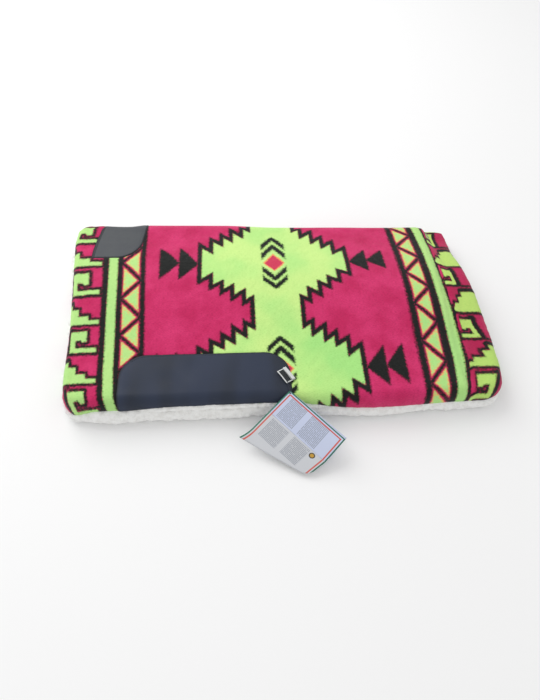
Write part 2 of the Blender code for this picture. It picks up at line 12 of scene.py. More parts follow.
import bpy
import numpy as np
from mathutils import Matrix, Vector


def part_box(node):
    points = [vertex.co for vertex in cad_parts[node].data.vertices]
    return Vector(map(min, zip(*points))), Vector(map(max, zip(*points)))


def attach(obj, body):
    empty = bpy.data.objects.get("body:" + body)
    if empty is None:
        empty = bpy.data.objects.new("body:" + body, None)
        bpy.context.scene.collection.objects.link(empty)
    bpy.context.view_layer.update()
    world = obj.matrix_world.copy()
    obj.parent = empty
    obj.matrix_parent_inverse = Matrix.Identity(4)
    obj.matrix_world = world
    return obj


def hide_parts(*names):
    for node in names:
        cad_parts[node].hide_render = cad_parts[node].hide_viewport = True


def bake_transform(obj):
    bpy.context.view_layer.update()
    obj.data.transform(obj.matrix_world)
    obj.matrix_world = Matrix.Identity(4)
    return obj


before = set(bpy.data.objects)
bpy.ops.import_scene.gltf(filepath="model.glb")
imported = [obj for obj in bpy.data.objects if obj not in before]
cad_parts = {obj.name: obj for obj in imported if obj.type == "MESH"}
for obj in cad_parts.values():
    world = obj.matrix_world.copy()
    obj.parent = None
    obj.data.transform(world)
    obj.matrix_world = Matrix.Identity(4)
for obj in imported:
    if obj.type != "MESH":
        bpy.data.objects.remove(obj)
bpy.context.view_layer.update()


# %% [markdown]
# ## Sizes of the stack
# These are the lengths of the CAD model. The cover turns down at the hems over a quarter of an
# ellipse, which takes up a little more cloth than it covers, and goes round the fold in a half
# circle. The flat run of each flap is what remains. The upper hem is set back a little over the
# fold. Where it sags past the middle of the stack, it presses the layers below it down.

# %% Sizes
WIDTH = 0.762
LENGTH = 0.914
HALF_STACK = 0.031
HEM_RUN = 0.018
HEM_DROP = 0.0205
HEM_SAVING = 0.01349
CORNER = 0.036
FLAT_START = 0.060
FOLD_OFFSET = 0.006
NEAR_FLAT = 0.5 * LENGTH + FOLD_OFFSET - 0.5 * math.pi * HALF_STACK - HEM_SAVING
OFF_FLAT = NEAR_FLAT - 2.0 * FOLD_OFFSET
FOLD_Y = 0.5 * (NEAR_FLAT - HALF_STACK)
NEAR_HEM = FOLD_Y - NEAR_FLAT
OFF_HEM = FOLD_Y - OFF_FLAT
SEAM = math.radians(60.0)
HEM_PRESS, HEM_SLACK = 0.0044, 0.0023
PARTS = ("near", "mid", "off")
print(f"near hem at y {NEAR_HEM:.4f}, off hem at y {OFF_HEM:.4f}, fold centre at y {FOLD_Y:.4f}")


# %% Helpers on arrays of numbers
def clamp(t):
    """t kept between 0 and 1."""
    return np.clip(t, 0.0, 1.0)


def ease(t):
    """0 below t = 0, 1 above t = 1, and 3t^2 - 2t^3 between."""
    t = clamp(t)
    return t * t * (3.0 - 2.0 * t)


def bump(t):
    """A smooth hill: 1 at t = 0 and 0 beyond t = -1 and t = 1."""
    return np.where(np.abs(t) < 1.0, 0.5 + 0.5 * np.cos(np.pi * t), 0.0)


def noise(x, y, z, size, seed):
    """Smooth random values from -1 to 1.

    Space is cut into cubes of a size. Each corner gets a random number from a hash of its place,
    and a point takes the mean of the eight round it, weighted by an S curve.
    """
    place = np.stack(np.broadcast_arrays(x, y, z), -1) / size + 31.7 * seed
    cell = np.floor(place).astype(np.int64)
    part = place - cell
    part = part * part * (3.0 - 2.0 * part)
    total = np.zeros(part.shape[:-1])
    for corner in range(8):
        step = np.array([corner & 1, corner >> 1 & 1, corner >> 2 & 1])
        key = ((cell + step) * np.array([73856093, 19349663, 83492791])).sum(-1) + 7919 * seed
        key = (key ^ (key >> 13)) * 1274126177 & 0x7FFFFFFF
        value = ((key ^ (key >> 16)) & 0xFFFF) / 32767.5 - 1.0
        total += value * np.where(step == 1, part, 1.0 - part).prod(-1)
    return total


# %% [markdown]
# ## How the stack has settled
# The upper flap is a little domed, sags to its hem and is pressed flat along the fold. Its rear
# border has slumped outside the sewn crease. The side edges have drifted: the front far corner
# and the rear near side stand out furthest, and both ends of the fold are drawn in.

# %% The settling step
LEFT_DRIFT = np.array(
    [(-0.23, 0.003), (-0.19, 0.004), (-0.13, 0.002), (-0.06, -0.001), (0.04, -0.009)]
    + [(0.12, -0.015), (0.16, -0.017), (0.185, -0.014), (0.203, -0.004), (0.216, 0.012)]
)
RIGHT_DRIFT = np.array(
    [(-0.23, 0.006), (-0.20, 0.013), (-0.15, 0.018), (-0.09, 0.019), (0.0, 0.013)]
    + [(0.06, 0.006), (0.12, -0.003), (0.17, -0.006), (0.195, -0.012), (0.216, -0.026)]
)
DRIFT_BAND = 0.070
REAR_LINE = 0.324


def top_share(x, y):
    """Thickness of the upper half at a place, as a share of its plain thickness."""
    along = 2.0 * x / WIDTH
    near = NEAR_HEM + 0.070
    across = clamp((y - near) / (FOLD_Y + HALF_STACK - near))
    crown = 0.018 * (1.0 + 0.4 * (along - along**2)) * np.sin(np.pi * across) ** 2
    hem = 0.005 * (1.0 + 0.4 * along) * (1.0 - ease(across))
    fold = 0.013 * np.maximum(0.0, 1.0 - ((along - 0.25) / 1.25) ** 2)
    fold = (fold + 0.003 + 0.004 * ease(0.5 + along)) * ease(across)
    slump = 0.012 * ease((x - REAR_LINE) / 0.02) * ease((y - 0.02) / 0.18)
    slump += 0.004 * ease((x - REAR_LINE) / 0.02)
    ripple = 0.0012 * noise(x, y, 0.0, 0.085, 3) + 0.0006 * noise(x, y, 0.0, 0.038, 4)
    return np.maximum(1.0 + (crown - hem - fold - slump + ripple) / HALF_STACK, 0.11)


def side_drift(x, y):
    """How far the outer border moves along x: full at the edge, fading to 0 at its inner line."""
    left = np.interp(y, LEFT_DRIFT[:, 0], LEFT_DRIFT[:, 1])
    right = np.interp(y, RIGHT_DRIFT[:, 0], RIGHT_DRIFT[:, 1])
    share = ease((np.abs(x) - 0.5 * WIDTH + DRIFT_BAND) / DRIFT_BAND)
    return np.where(x < 0.0, left, right) * share


def settle(x, y, z):
    """The place in the real pad of a point of the plain stack."""
    above = np.maximum(z - HALF_STACK, 0.0)
    height = np.minimum(z, HALF_STACK) + above * top_share(x, y)
    set_back = 0.0015 + 0.0065 * ease((x + 0.10) / 0.12) + 0.004 * ease((x - 0.05) / 0.25)
    set_back = set_back + 0.013 * ease((x - REAR_LINE) / 0.02)
    set_back = set_back + 0.003 * ease((-0.26 - x) / 0.03) + 0.004 * bump((x + 0.305) / 0.060)
    t = clamp((y - FOLD_Y) / HALF_STACK)
    set_back = set_back * (t + (ease(t) - t) * (1.0 - ease((x - REAR_LINE) / 0.02)))
    return np.stack([x + side_drift(x, y), y - set_back, height], -1)


def flap_place(x, reach, depth, upper):
    """A place on a flap: x, the distance from its hem line, and the depth below its face."""
    flat = NEAR_FLAT if upper else OFF_FLAT
    side = 0.5 * WIDTH - np.abs(x)
    draw = 0.004 * clamp(1.0 - side / 0.040) ** 2 * np.sin(np.pi * clamp(reach / flat))
    pull = np.where(x < 0.0, 0.003, 0.0) * np.cos(np.pi * x / WIDTH) ** 2
    pull = pull + 0.003 * bump(x / 0.10) * (x > 0.0) - 0.007 * bump((x - 0.15) / 0.20)
    pull = pull * clamp(1.0 - np.maximum(reach, 0.0) / 0.080) ** 2
    y = FOLD_Y - flat + reach + pull
    z = 2.0 * HALF_STACK - depth if upper else depth
    return x - np.sign(x) * draw, y, z


def stack_place(x, reach, angle, depth, upper):
    """The settled place of a point at a depth below the face of the stack: on a flap by its
    distance from the hem line, and where the angle is over 0 on the fold, that far round it."""
    flat_x, y, z = flap_place(x, reach, depth, upper)
    turn = angle if upper else np.pi - angle
    radius = np.maximum(HALF_STACK - depth, 0.0006)
    folded = angle > 0.0
    y = np.where(folded, FOLD_Y + radius * np.sin(turn), y)
    z = np.where(folded, HALF_STACK + radius * np.cos(turn), z)
    return settle(np.where(folded, x, flat_x), y, z)


# %% [markdown]
# ## Grids that follow the hem
# A row of points runs from the hem to the fold, and rows follow one another along the spine. Near
# the edges the points sit close, at even steps round the turned hem. In the corners they follow
# lines at a constant distance from the rounded hem, so the corner stays smooth.

# %% Stations of the grids
def hem_turn(inset):
    """0 at the bottom of the turned hem and 1 where it reaches the flat: a quarter circle."""
    return np.sqrt(1.0 - (1.0 - clamp(inset / HEM_RUN)) ** 2)


def hem_inset(side, reach):
    """Distance inwards from the hem line with its rounded corners."""
    corner = (side < CORNER) & (reach < CORNER)
    rounded = CORNER - np.hypot(CORNER - side, CORNER - reach)
    return np.where(corner, rounded, np.minimum(side, reach))


def hem_outward(side, reach):
    """Outwards and square to the hem line: the share along x, without its sign, and along y."""
    corner = (side < CORNER) & (reach < CORNER)
    dx = np.where(corner, CORNER - side, np.where(side < reach, 1.0, 0.0))
    dy = np.where(corner, CORNER - reach, np.where(side < reach, 0.0, 1.0))
    size = np.maximum(np.hypot(dx, dy), 1e-9)
    return dx / size, dy / size


def section_places(step):
    """The x of the rows: close together round the side hems and one step apart between them."""
    turned = HEM_RUN * (1.0 - np.cos(np.linspace(0.0, 0.5 * np.pi, 11)))
    count = int(round((WIDTH - 2.0 * HEM_RUN) / step))
    between = np.linspace(-0.5 * WIDTH + HEM_RUN, 0.5 * WIDTH - HEM_RUN, count + 1)
    return np.concatenate([-0.5 * WIDTH + turned[:-1], between, 0.5 * WIDTH - turned[-2::-1]])


def reach_places(x, flat, step):
    """Distances from the hem line along every row, up to the start of the fold."""
    side = (0.5 * WIDTH - np.abs(x))[:, None]
    inset = HEM_RUN * (1.0 - np.cos(np.linspace(0.0, 0.5 * np.pi, 11)))[None, :]
    round_part = np.sqrt(np.maximum((CORNER - inset) ** 2 - (CORNER - side) ** 2, 0.0))
    hem = np.where(inset >= side, CORNER + inset - side, CORNER - round_part)
    hem = np.where(side >= CORNER, inset, hem)
    part = np.linspace(0.0, 1.0, int(0.045 / step) + 1)[None, 1:]
    middle = hem[:, -1:] * (1.0 - part) + FLAT_START * part
    count = int(round((flat - FLAT_START) / step))
    rest = np.linspace(FLAT_START, flat, count + 1)[None, 1:]
    return np.concatenate([hem, middle, np.broadcast_to(rest, (len(x), count))], 1)


def grid_faces(rows, steps, flip=False, start=0):
    """Quads between neighbouring points of a grid."""
    i = np.arange(rows - 1)[:, None] * steps + np.arange(steps - 1)[None, :] + start
    faces = np.stack([i, i + steps, i + steps + 1, i + 1], -1).reshape(-1, 4)
    return faces[:, ::-1] if flip else faces


def unit(vectors):
    """The same directions with length 1."""
    return vectors / np.maximum(np.linalg.norm(vectors, axis=-1, keepdims=True), 1e-12)


def normals_of(points):
    """Unit normals of a grid of points, from the differences along its rows and steps."""
    return unit(np.cross(np.gradient(points, axis=0), np.gradient(points, axis=1)))


def flat_points(u, v):
    """Places on a flat cloth as rows of three numbers, for the materials."""
    return np.stack([u, v, 0.0 * u], -1).reshape(-1, 3)


def show(name, data):
    """A new object in the scene for a mesh, a lamp or a camera."""
    thing = bpy.data.objects.new(name, data)
    bpy.context.scene.collection.objects.link(thing)
    return thing


def build(name, points, faces, material, **measures):
    """A mesh object from points and faces, with named measures stored on its points."""
    mesh = bpy.data.meshes.new(name)
    points = np.asarray(points, np.float32).reshape(-1, 3)
    faces = np.asarray(faces, np.int32)
    mesh.vertices.add(len(points))
    mesh.vertices.foreach_set("co", points.ravel())
    mesh.loops.add(faces.size)
    mesh.loops.foreach_set("vertex_index", faces.ravel())
    mesh.polygons.add(len(faces))
    mesh.polygons.foreach_set("loop_start", np.arange(0, faces.size, 4, dtype=np.int32))
    mesh.update(calc_edges=True)
    for key, value in measures.items():
        value = np.asarray(value, np.float32).reshape(len(points), -1)
        kind, field = ("FLOAT", "value") if value.shape[1] == 1 else ("FLOAT_VECTOR", "vector")
        mesh.attributes.new(key, kind, "POINT").data.foreach_set(field, value.ravel())
    mesh.shade_smooth()
    mesh.materials.append(material)
    mesh.validate()
    piece = show(name, mesh)
    print(f"{name}: {len(points)} points, {2 * len(faces)} triangles")
    return piece


def closed_sheet(name, top, under, material, cloth=None, flip=False, seams=(), **top_measures):
    """Two grids of points joined by a rim into one closed piece.

    Both sides have the same places on the cloth, and any other measure is 0 on the under side. The
    rim along a seam with a neighbour is shaded flat, so the shading runs on over the seam.
    """
    n, m = top.shape[:2]
    rim = [(i, 0) for i in range(n)] + [(n - 1, j) for j in range(1, m)]
    rim += [(i, m - 1) for i in range(n - 2, -1, -1)] + [(0, j) for j in range(m - 2, 0, -1)]
    ring = np.array([i * m + j for i, j in rim])
    after = np.roll(ring, -1)
    rim_faces = np.stack([ring, ring + n * m, after + n * m, after], -1)
    faces = np.concatenate([grid_faces(n, m), grid_faces(n, m, flip=True, start=n * m), rim_faces])
    faces = faces[:, ::-1] if flip else faces
    points = np.concatenate([top.reshape(-1, 3), under.reshape(-1, 3)])
    measures = {} if cloth is None else dict(cloth=np.concatenate([cloth, cloth]))
    for key, value in top_measures.items():
        measures[key] = np.concatenate([value.ravel(), 0.0 * value.ravel()])
    piece = build(name, points, faces, material, **measures)
    at_seam = np.isin(ring % m, seams) & (ring % m == after % m)
    smooth = np.concatenate([np.ones(len(faces) - len(ring), bool), ~at_seam])
    piece.data.polygons.foreach_set("use_smooth", smooth)
    return piece


# %% [markdown]
# ## The woven pattern
# The pattern is drawn on the flat cloth, in millimetres: u is the distance from the middle line
# of the pad and v the distance from the near hem. Large stepped diamonds follow one another along
# the middle with a small lozenge between chevrons in each, black arrowheads stand beside them, and
# the borders have a band of triangles, a plain stripe and a stepped key. For each colour the cells
# below work out a signed distance to its edge, positive inside. Distances blend smoothly between
# the points of a mesh, so the edges stay sharp and the pile can roughen them in the material.

# %% Drawing with distances
ROW = 38.1


def distance_to_line(u, v, path):
    """Shortest distance from points to a path of straight pieces."""
    best = np.full(u.shape, 1e9)
    for (a, b), (c, d) in zip(path, path[1:]):
        t = clamp(((u - a) * (c - a) + (v - b) * (d - b)) / ((c - a) ** 2 + (d - b) ** 2))
        best = np.minimum(best, np.hypot(u - a - t * (c - a), v - b - t * (d - b)))
    return best


def inside(u, v, path):
    """Which points lie inside a closed path: a ray crosses it an odd number of times."""
    crossed = np.zeros(u.shape, bool)
    for (a, b), (c, d) in zip(path, path[1:] + path[:1]):
        if b != d:
            level = (v > min(b, d)) & (v <= max(b, d))
            crossed ^= level & (u < a + (v - b) * (c - a) / (d - b))
    return crossed


def shape(u, v, path):
    """Signed distance to a closed path, positive inside."""
    away = distance_to_line(u, v, path + path[:1])
    return np.where(inside(u, v, path), away, -away)


def only_in(place, distance):
    """A distance where it counts, and far outside everywhere else."""
    return np.where(place, distance, -20.0)


# %% The stepped diamonds and what stands in and beside them
TEETH = [(148.5, 47.0), (126.5, 32.5), (126.5, 61.5), (106.0, 49.0), (106.0, 74.5), (86.5, 60.0)]
TEETH += [(86.5, 90.0), (65.0, 73.0), (65.0, 100.0), (50.0, 89.5), (50.0, 160.0)]
DIAMOND = [(0.0, 0.0), (148.5, 0.0)] + TEETH + [(0.0, 160.0)]
OUTLINE = [(148.5, -20.0)] + TEETH
ARROWS = [
    [(149.0, 0.0), (184.0, 34.0), (184.0, -34.0)],
    [(185.0, 0.0), (219.0, 34.0), (219.0, -34.0)],
]
CHEVRONS = [[(0.0, 37.0), (26.0, 11.0)], [(0.0, 57.5), (26.0, 32.0)]]
OUTLINE_WIDTH = 6.6
CHEVRON_HALF_WIDTH, CHEVRON_END = 3.5, 22.5


def mitred(path, width):
    """A path moved to its left side by a width, with sharp corners: neighbouring lines are
    shifted and crossed again."""
    lines = []
    for (a, b), (c, d) in zip(path, path[1:]):
        size = math.hypot(c - a, d - b)
        across = (-(d - b) / size * width, (c - a) / size * width)
        lines.append(((a + across[0], b + across[1]), (c - a, d - b)))
    corners = [lines[0][0]]
    for (p, d), (q, e) in zip(lines, lines[1:]):
        t = ((q[0] - p[0]) * e[1] - (q[1] - p[1]) * e[0]) / (d[0] * e[1] - d[1] * e[0])
        corners.append((p[0] + t * d[0], p[1] + t * d[1]))
    (a, b), (c, d) = lines[-1]
    return corners + [(a + c, b + d)]


INNER = mitred(OUTLINE, OUTLINE_WIDTH)


def motif_measures(u, v):
    """Distances for lime, black and fringe, and the lozenge, within one motif and its repeats."""
    middle = 2.0 * ROW + 6.0 * ROW * np.round((v - 2.0 * ROW) / (6.0 * ROW))
    a, b = np.abs(u), np.abs(v - middle)
    slim = (u > 0.0) & (middle > 5.0 * ROW) & (middle < 12.0 * ROW)
    b = b + 12.0 * slim * clamp((a - 45.0) / 105.0) * clamp(b / 30.0)
    edge = distance_to_line(a, b, OUTLINE)
    diamond = np.where(inside(a, b, DIAMOND), edge, -edge)
    edge = distance_to_line(a, b, INNER)
    field = np.where(inside(a, b, [(-50.0, -20.0)] + INNER + [(-50.0, 170.0)]), edge, -edge)
    black = np.minimum(diamond, -field)
    for arrow in ARROWS:
        black = np.maximum(black, shape(a, b, arrow))
    for line in CHEVRONS:
        stroke = CHEVRON_HALF_WIDTH - distance_to_line(a, b, line)
        black = np.maximum(black, np.minimum(stroke, CHEVRON_END - a))
    lozenge = 13.0 - (a + b * 1.08) * 0.72
    return field, black, lozenge


# %% The borders
MOTIF_END = 240.0
BAND_START = 251.0
BAND_END = 288.0
ZIGZAG_HALF_WIDTH = 1.9
STRIPE = (294.0, 313.8)
BORDER_LINES = ((244.6, 251.4), (286.9, 294.4), (313.4, 321.4))
KEY_START = 320.0
KEY_CELL = 60.5
KEY_FOOT = -6.0
HOOK = [(56.5, 2.5), (5.0, 2.5), (5.0, 14.5), (43.0, 14.5), (43.0, 28.5), (35.0, 28.5)]
HOOK += [(32.0, 23.5), (22.5, 24.5), (22.5, 49.5), (56.5, 49.5)]
STAIRS = [(90.0, 1.5), (3.0, 1.5), (3.0, 13.0), (21.5, 13.0), (21.5, 22.0), (39.0, 22.0)]
STAIRS += [(39.0, 36.0), (54.0, 36.0), (54.0, 47.0), (90.0, 47.0)]


def border_measures(u, v):
    """Distances for lime and black in the borders, and how far inside a triangle a point is."""
    a = np.abs(u)
    far = np.where(v > 12.0 * ROW, 24.0 * ROW - v, v)
    part = (a - BAND_START) / (BAND_END - BAND_START)
    zigzag = np.abs(np.mod(far / ROW, 2.0) - 1.0)
    slope = ROW / math.hypot(ROW, BAND_END - BAND_START)
    line = np.abs(part - zigzag) * (BAND_END - BAND_START) * slope
    base = np.where(part > zigzag, BAND_END - a, a - BAND_START)
    triangle = np.minimum(line - ZIGZAG_HALF_WIDTH, base - 0.5)
    in_band = (a > BAND_START) & (a < BAND_END)
    lime = only_in(in_band, 0.5 * (triangle - 5.4))
    black = only_in(in_band, ZIGZAG_HALF_WIDTH - line)
    for low, high in BORDER_LINES:
        black = np.maximum(black, np.minimum(a - low, high - a))
    lime = np.maximum(lime, np.minimum(a - STRIPE[0], STRIPE[1] - a))
    k = a - KEY_START
    cell = np.floor((far - KEY_FOOT) / KEY_CELL)
    w = far - KEY_FOOT - KEY_CELL * cell
    hook, stairs = shape(k, w, HOOK), shape(k, w, STAIRS)
    key = only_in(k > 0.0, np.where(np.mod(cell, 2.0) == 0.0, hook, stairs))
    rim = 3.4 + 3.6 * ease((k - 42.0) / 18.0)
    floor_line = 1.7 - np.minimum(w, KEY_CELL - w)
    around = np.maximum(np.minimum(-key, rim + key), only_in(k > 0.0, floor_line))
    black = np.maximum(black, only_in(k > 0.0, around))
    return np.maximum(lime, key), black, only_in(in_band, triangle)


# %% The cloth is stretched a little
WEAVE_FRONT = [0.05, 1.07, 2.08, 3.09, 4.11, 5.14, 6.03, 6.93, 7.68, 8.55, 9.55, 10.55, 11.55]
WEAVE_MIDDLE = [0.2, 1.15, 2.12, 2.97, 4.0, 5.02, 6.02, 7.05, 7.9, 8.55, 9.3, 10.2, 11.3]
WEAVE_REAR = [0.0, 1.07, 1.95, 2.81, 3.81, 4.70, 5.77, 6.73, 7.68, 8.58, 9.6, 10.8, 11.8]
WEAVES = (WEAVE_FRONT + [12.7, 14.0], WEAVE_MIDDLE + [12.7, 14.0], WEAVE_REAR + [12.9, 14.0])
FRONT_V = [0.0, 30.0, 75.0, 155.0, 265.0, 330.0, 430.0, 520.0]
FRONT_SHIFT = [15.0, 10.0, 6.0, 2.4, -2.8, -7.0, -9.0, 0.0]
REAR_V = [0.0, 25.0, 55.0, 85.0, 130.0, 155.0, 188.0, 235.0, 296.0, 350.0, 400.0, 470.0]
REAR_SHIFT = [7.0, 7.5, 12.0, 15.5, 16.0, 15.5, 15.0, 12.0, 10.0, 12.0, 10.0, 0.0]
REAR_INNER = [12.0, 12.0, 11.0, 9.5, 5.0, 4.0, 4.0, 4.0, 4.0, 4.0, 6.0, 27.9]
REAR_OUTER = [40.0, 41.0, 45.0, 48.0, 30.0, 23.0, 21.0, 21.0, 21.0, 22.0, 26.0, 63.4]
REAR_SLIP = [-6.0, -9.0, -11.0, -9.0, -2.0, 5.0, 7.0, 3.0, 15.0, 10.0, 4.0, 0.0]


def rear_place(u, v):
    """The place on the even cloth across the rear border: straight pieces between knots.

    The stripe has moved out, the cloth past it dives into the crease, and the rest lies flat.
    """
    out, inner, outer = (np.interp(v, REAR_V, t) for t in (REAR_SHIFT, REAR_INNER, REAR_OUTER))
    crease = 314.6 + 0.95 * out
    here = [0.0, 240.0, 251.0 + 0.4 * out, 287.0 + 0.4 * out, 293.0 + 0.75 * out]
    here += [crease, crease + inner, crease + outer, crease + outer + 60.0]
    there = [0.0, 240.0, 251.0, 287.0, 293.0, 314.6, 342.5, 378.0, 438.0]
    place = 0.0 * u
    for a, b, c, d in zip(here, here[1:], there, there[1:]):
        place = place + (d - c) * clamp((u - a) / (b - a))
    return place


def woven_place(u, v):
    """The place on the evenly woven cloth: rows by rows, the real one is drawn out or pushed in.

    The tables say which row of the even cloth lies where each row would be. The front border is
    also pulled sideways, inwards at the hem and outwards at the fold.
    """
    front, middle, rear = (np.interp(v / ROW, np.arange(15), table) for table in WEAVES)
    share = ease((np.abs(u) - 150.0) / 100.0)
    row = middle + (np.where(u < 0.0, front, rear) - middle) * share
    shift = np.interp(v, FRONT_V, FRONT_SHIFT) * ease((-u - 190.0) / 70.0)
    slip = np.interp(v, REAR_V, REAR_SLIP) * ease((u - 318.0) / 20.0)
    slip, shift = np.where(u > 0.0, slip, 0.0), np.where(u > 0.0, u - rear_place(u, v), shift)
    return u - shift, np.where(v < 14.0 * ROW, row * ROW + slip, v)


def pattern(u, v):
    """All the measures that the plush material reads, in millimetres on the flat cloth."""
    u, v = woven_place(u, v)
    diamond, black, lozenge = motif_measures(u, v)
    border, border_black, triangle = border_measures(u, v)
    middle = np.abs(u) < MOTIF_END
    lime = np.maximum(only_in(middle, np.minimum(diamond, -lozenge)), border)
    ink = np.maximum(only_in(middle, black), border_black)
    fringe = np.maximum(triangle, only_in(middle & (lozenge > -6.0), lozenge + 3.0))
    stripe = ease((np.abs(u) - MOTIF_END) / 12.0)
    return dict(lime=lime, ink=ink, fringe=fringe, lozenge=lozenge, stripe=stripe)


def cloth_place(s):
    """Where the points of a span lie on the flat cloth, in millimetres.

    On the turned hem the cloth runs further than its plan: the arc of the hem from its foot,
    less the plain inset, is added outwards, square to the hem line.
    """
    theta = np.arccos(1.0 - clamp(s.inset / HEM_RUN))
    turned = (HEM_RUN + HEM_SAVING) * theta / (0.5 * np.pi)
    extra = np.where(s.inset < HEM_RUN, s.inset + HEM_SAVING - turned, 0.0)
    out_x, out_y = hem_outward(s.side, s.reach)
    u = s.x + np.sign(s.x) * extra * out_x
    v = s.reach + HEM_SAVING - extra * out_y + HALF_STACK * s.angle
    return 1000.0 * u, 1000.0 * (v if s.upper else LENGTH - v)


# %% [markdown]
# ## One span of the stack at a time
# Every layer is made in three spans: the near flap up to a third of the way round the fold, the
# middle third, and the off flap with the last third. The ends of neighbouring spans share their
# points, so the cloth looks whole.

# %% Spans
def span(part, step):
    """The stations of one span: for every point its x, its distance from the hem line, its angle
    round the fold and its distances from the side and from the hem."""
    x = section_places(step)
    upper = part != "off"
    flat = NEAR_FLAT if upper else OFF_FLAT
    turns = int(round(SEAM * HALF_STACK / step)) + 1
    if part == "mid":
        angle = np.linspace(SEAM, 2.0 * SEAM, turns + 1)
        reach = np.full((len(x), turns + 1), flat)
        angle = np.broadcast_to(angle, reach.shape)
    else:
        reach = reach_places(x, flat, step)
        angle = np.zeros(reach.shape)
        turn = np.broadcast_to(np.linspace(0.0, SEAM, turns + 1)[1:], (len(x), turns))
        angle = np.concatenate([angle, turn], 1)
        reach = np.concatenate([reach, np.full(turn.shape, flat)], 1)
    x = np.broadcast_to(x[:, None], reach.shape)
    side = 0.5 * WIDTH - np.abs(x)
    inset = np.where(angle > 0.0, side, hem_inset(side, reach))
    return SimpleNamespace(x=x, reach=reach, angle=angle, side=side, inset=inset, upper=upper)


def span_place(s, depth):
    """The settled places of a span's points at a depth below the face of the stack."""
    return stack_place(s.x, s.reach, s.angle, depth, s.upper)


def hem_drop(x, reach, upper, angle=0.0):
    """How far the edge of the cover hangs: further at the rear near side and the front corner.

    Where the upper flap hangs past the middle of the stack, the lower flap's edge gives way.
    """
    if not upper:
        pressed = hem_drop(x, reach, True) + HEM_PRESS - HALF_STACK
        return HEM_DROP - np.maximum(pressed - HEM_SLACK, 0.0)
    near = 1.0 - ease((reach - 0.02) / 0.05)
    rear = 0.0155 * ease((x - 0.005) / 0.15)
    front = 0.012 * ease((-0.315 - x) / 0.04) + 0.009 * ease((-0.17 - x) / 0.12)
    return HEM_DROP + near * (rear + front) + 0.004 * (1.0 - near) * (1.0 - ease(angle / SEAM))


# %% [markdown]
# ## The plush cover
# The cover is a woven blanket cloth with a short brushed pile. Its grid is close enough for the
# pattern, the turned hems and the soft lumps. Its edge is turned in under the hem by a few
# millimetres. Under the leathers it is pressed down, so that they sit in the pile.

# %% Where the leathers lie
WEAR_FRONT, WEAR_REAR, WEAR_TOP, WEAR_ROUND = -0.280, 0.014, 0.094, 0.046
WITHERS_FRONT, WITHERS_REAR, WITHERS_ROUND = -0.348, -0.263, 0.045
WITHERS_START = NEAR_FLAT + 0.5 * np.pi * HALF_STACK - FOLD_OFFSET - 0.124


def rounded_box(a, b, low, high, radius):
    """Signed distance to a box with rounded corners, positive inside."""
    da = np.abs(a - 0.5 * (low[0] + high[0])) - 0.5 * (high[0] - low[0]) + radius
    db = np.abs(b - 0.5 * (low[1] + high[1])) - 0.5 * (high[1] - low[1]) + radius
    outside = np.hypot(np.maximum(da, 0.0), np.maximum(db, 0.0))
    return radius - outside - np.minimum(np.maximum(da, db), 0.0)


def lean(reach):
    """How far the withers leather leans back towards the fold."""
    return 0.010 * ease((reach - WITHERS_START) / 0.110)


def leather_cover(s):
    """How far inside a leather's outline the points of a span lie."""
    reach = s.reach + HALF_STACK * s.angle
    x = s.x - (lean(reach) if s.upper else 0.010)
    wear = rounded_box(s.x, s.reach, (WEAR_FRONT, -0.2), (WEAR_REAR, WEAR_TOP), WEAR_ROUND)
    low, high = (WITHERS_FRONT, WITHERS_START), (WITHERS_REAR, 0.8)
    round_side = rounded_box(x, reach, low, high, WITHERS_ROUND)
    square_side = rounded_box(x, reach, low, (-0.308, 0.8), 0.002)
    return np.maximum(wear, np.maximum(round_side, square_side))


def make_cover(part, step):
    """The cover of one span: its face, and the edge turned in below it."""
    s = span(part, step)
    depth = hem_drop(s.x, s.reach, s.upper, s.angle) * (1.0 - hem_turn(s.inset))
    if part != "off":
        fade = 1.0 - ease((s.angle - SEAM) / SEAM)
        depth = depth + REAR_CREASE * bump((s.x - REAR_LINE) / 0.012) * fade
        depth = depth + FRONT_CREASE * bump((s.x + 0.360) / 0.016) * fade
    depth = depth + LEATHER_SINK * ease(leather_cover(s) / 0.003 + 0.5)
    points = span_place(s, depth)
    u, v = cloth_place(s)
    sign = 1.0 if s.upper else -1.0
    nap = 0.0005 * noise(u, v, 0.0, 9.0, 5) + 0.0004 * noise(u, v, 0.0, 4.6, 6)
    edge = ease(s.angle / -SEAM + 1.0) if part != "mid" else 0.0
    points = points + normals_of(points) * sign * (nap * edge)[..., None]
    rows, steps = u.shape
    loops = [[(0, j) for j in range(steps - 1, -1, -1)], [(rows - 1, j) for j in range(steps)]]
    if part != "mid":
        loops = [loops[0] + [(i, 0) for i in range(1, rows)] + loops[1][1:]]
    all_points, faces = [points.reshape(-1, 3)], [grid_faces(rows, steps)]
    all_u, all_v = [u.ravel()], [v.ravel()]
    count = rows * steps
    out_x, out_y = hem_outward(s.side, s.reach)
    inwards = np.stack([-np.sign(s.x) * out_x, out_y, 0.0 * out_x], -1)
    for ring in loops:
        i, j = np.array(ring).T
        turn = s.angle[i, j]
        down = np.stack([0.0 * turn, -np.sin(turn), -sign * np.cos(turn)], -1)
        previous = i * steps + j
        for along, below in TURNED_IN:
            fresh = np.arange(len(ring)) + count
            faces.append(np.stack([previous[:-1], fresh[:-1], fresh[1:], previous[1:]], -1))
            all_points.append(points[i, j] + inwards[i, j] * along + down * below)
            all_u.append(u[i, j])
            all_v.append(v[i, j])
            previous, count = fresh, count + len(ring)
    u, v = np.concatenate(all_u), np.concatenate(all_v)
    points, faces = np.concatenate(all_points), np.concatenate(faces)[:, :: int(sign)]
    cloth = flat_points(u, v) / 1000.0
    return build(part + "_plush_cover", points, faces, PLUSH, cloth=cloth, **pattern(u, v))


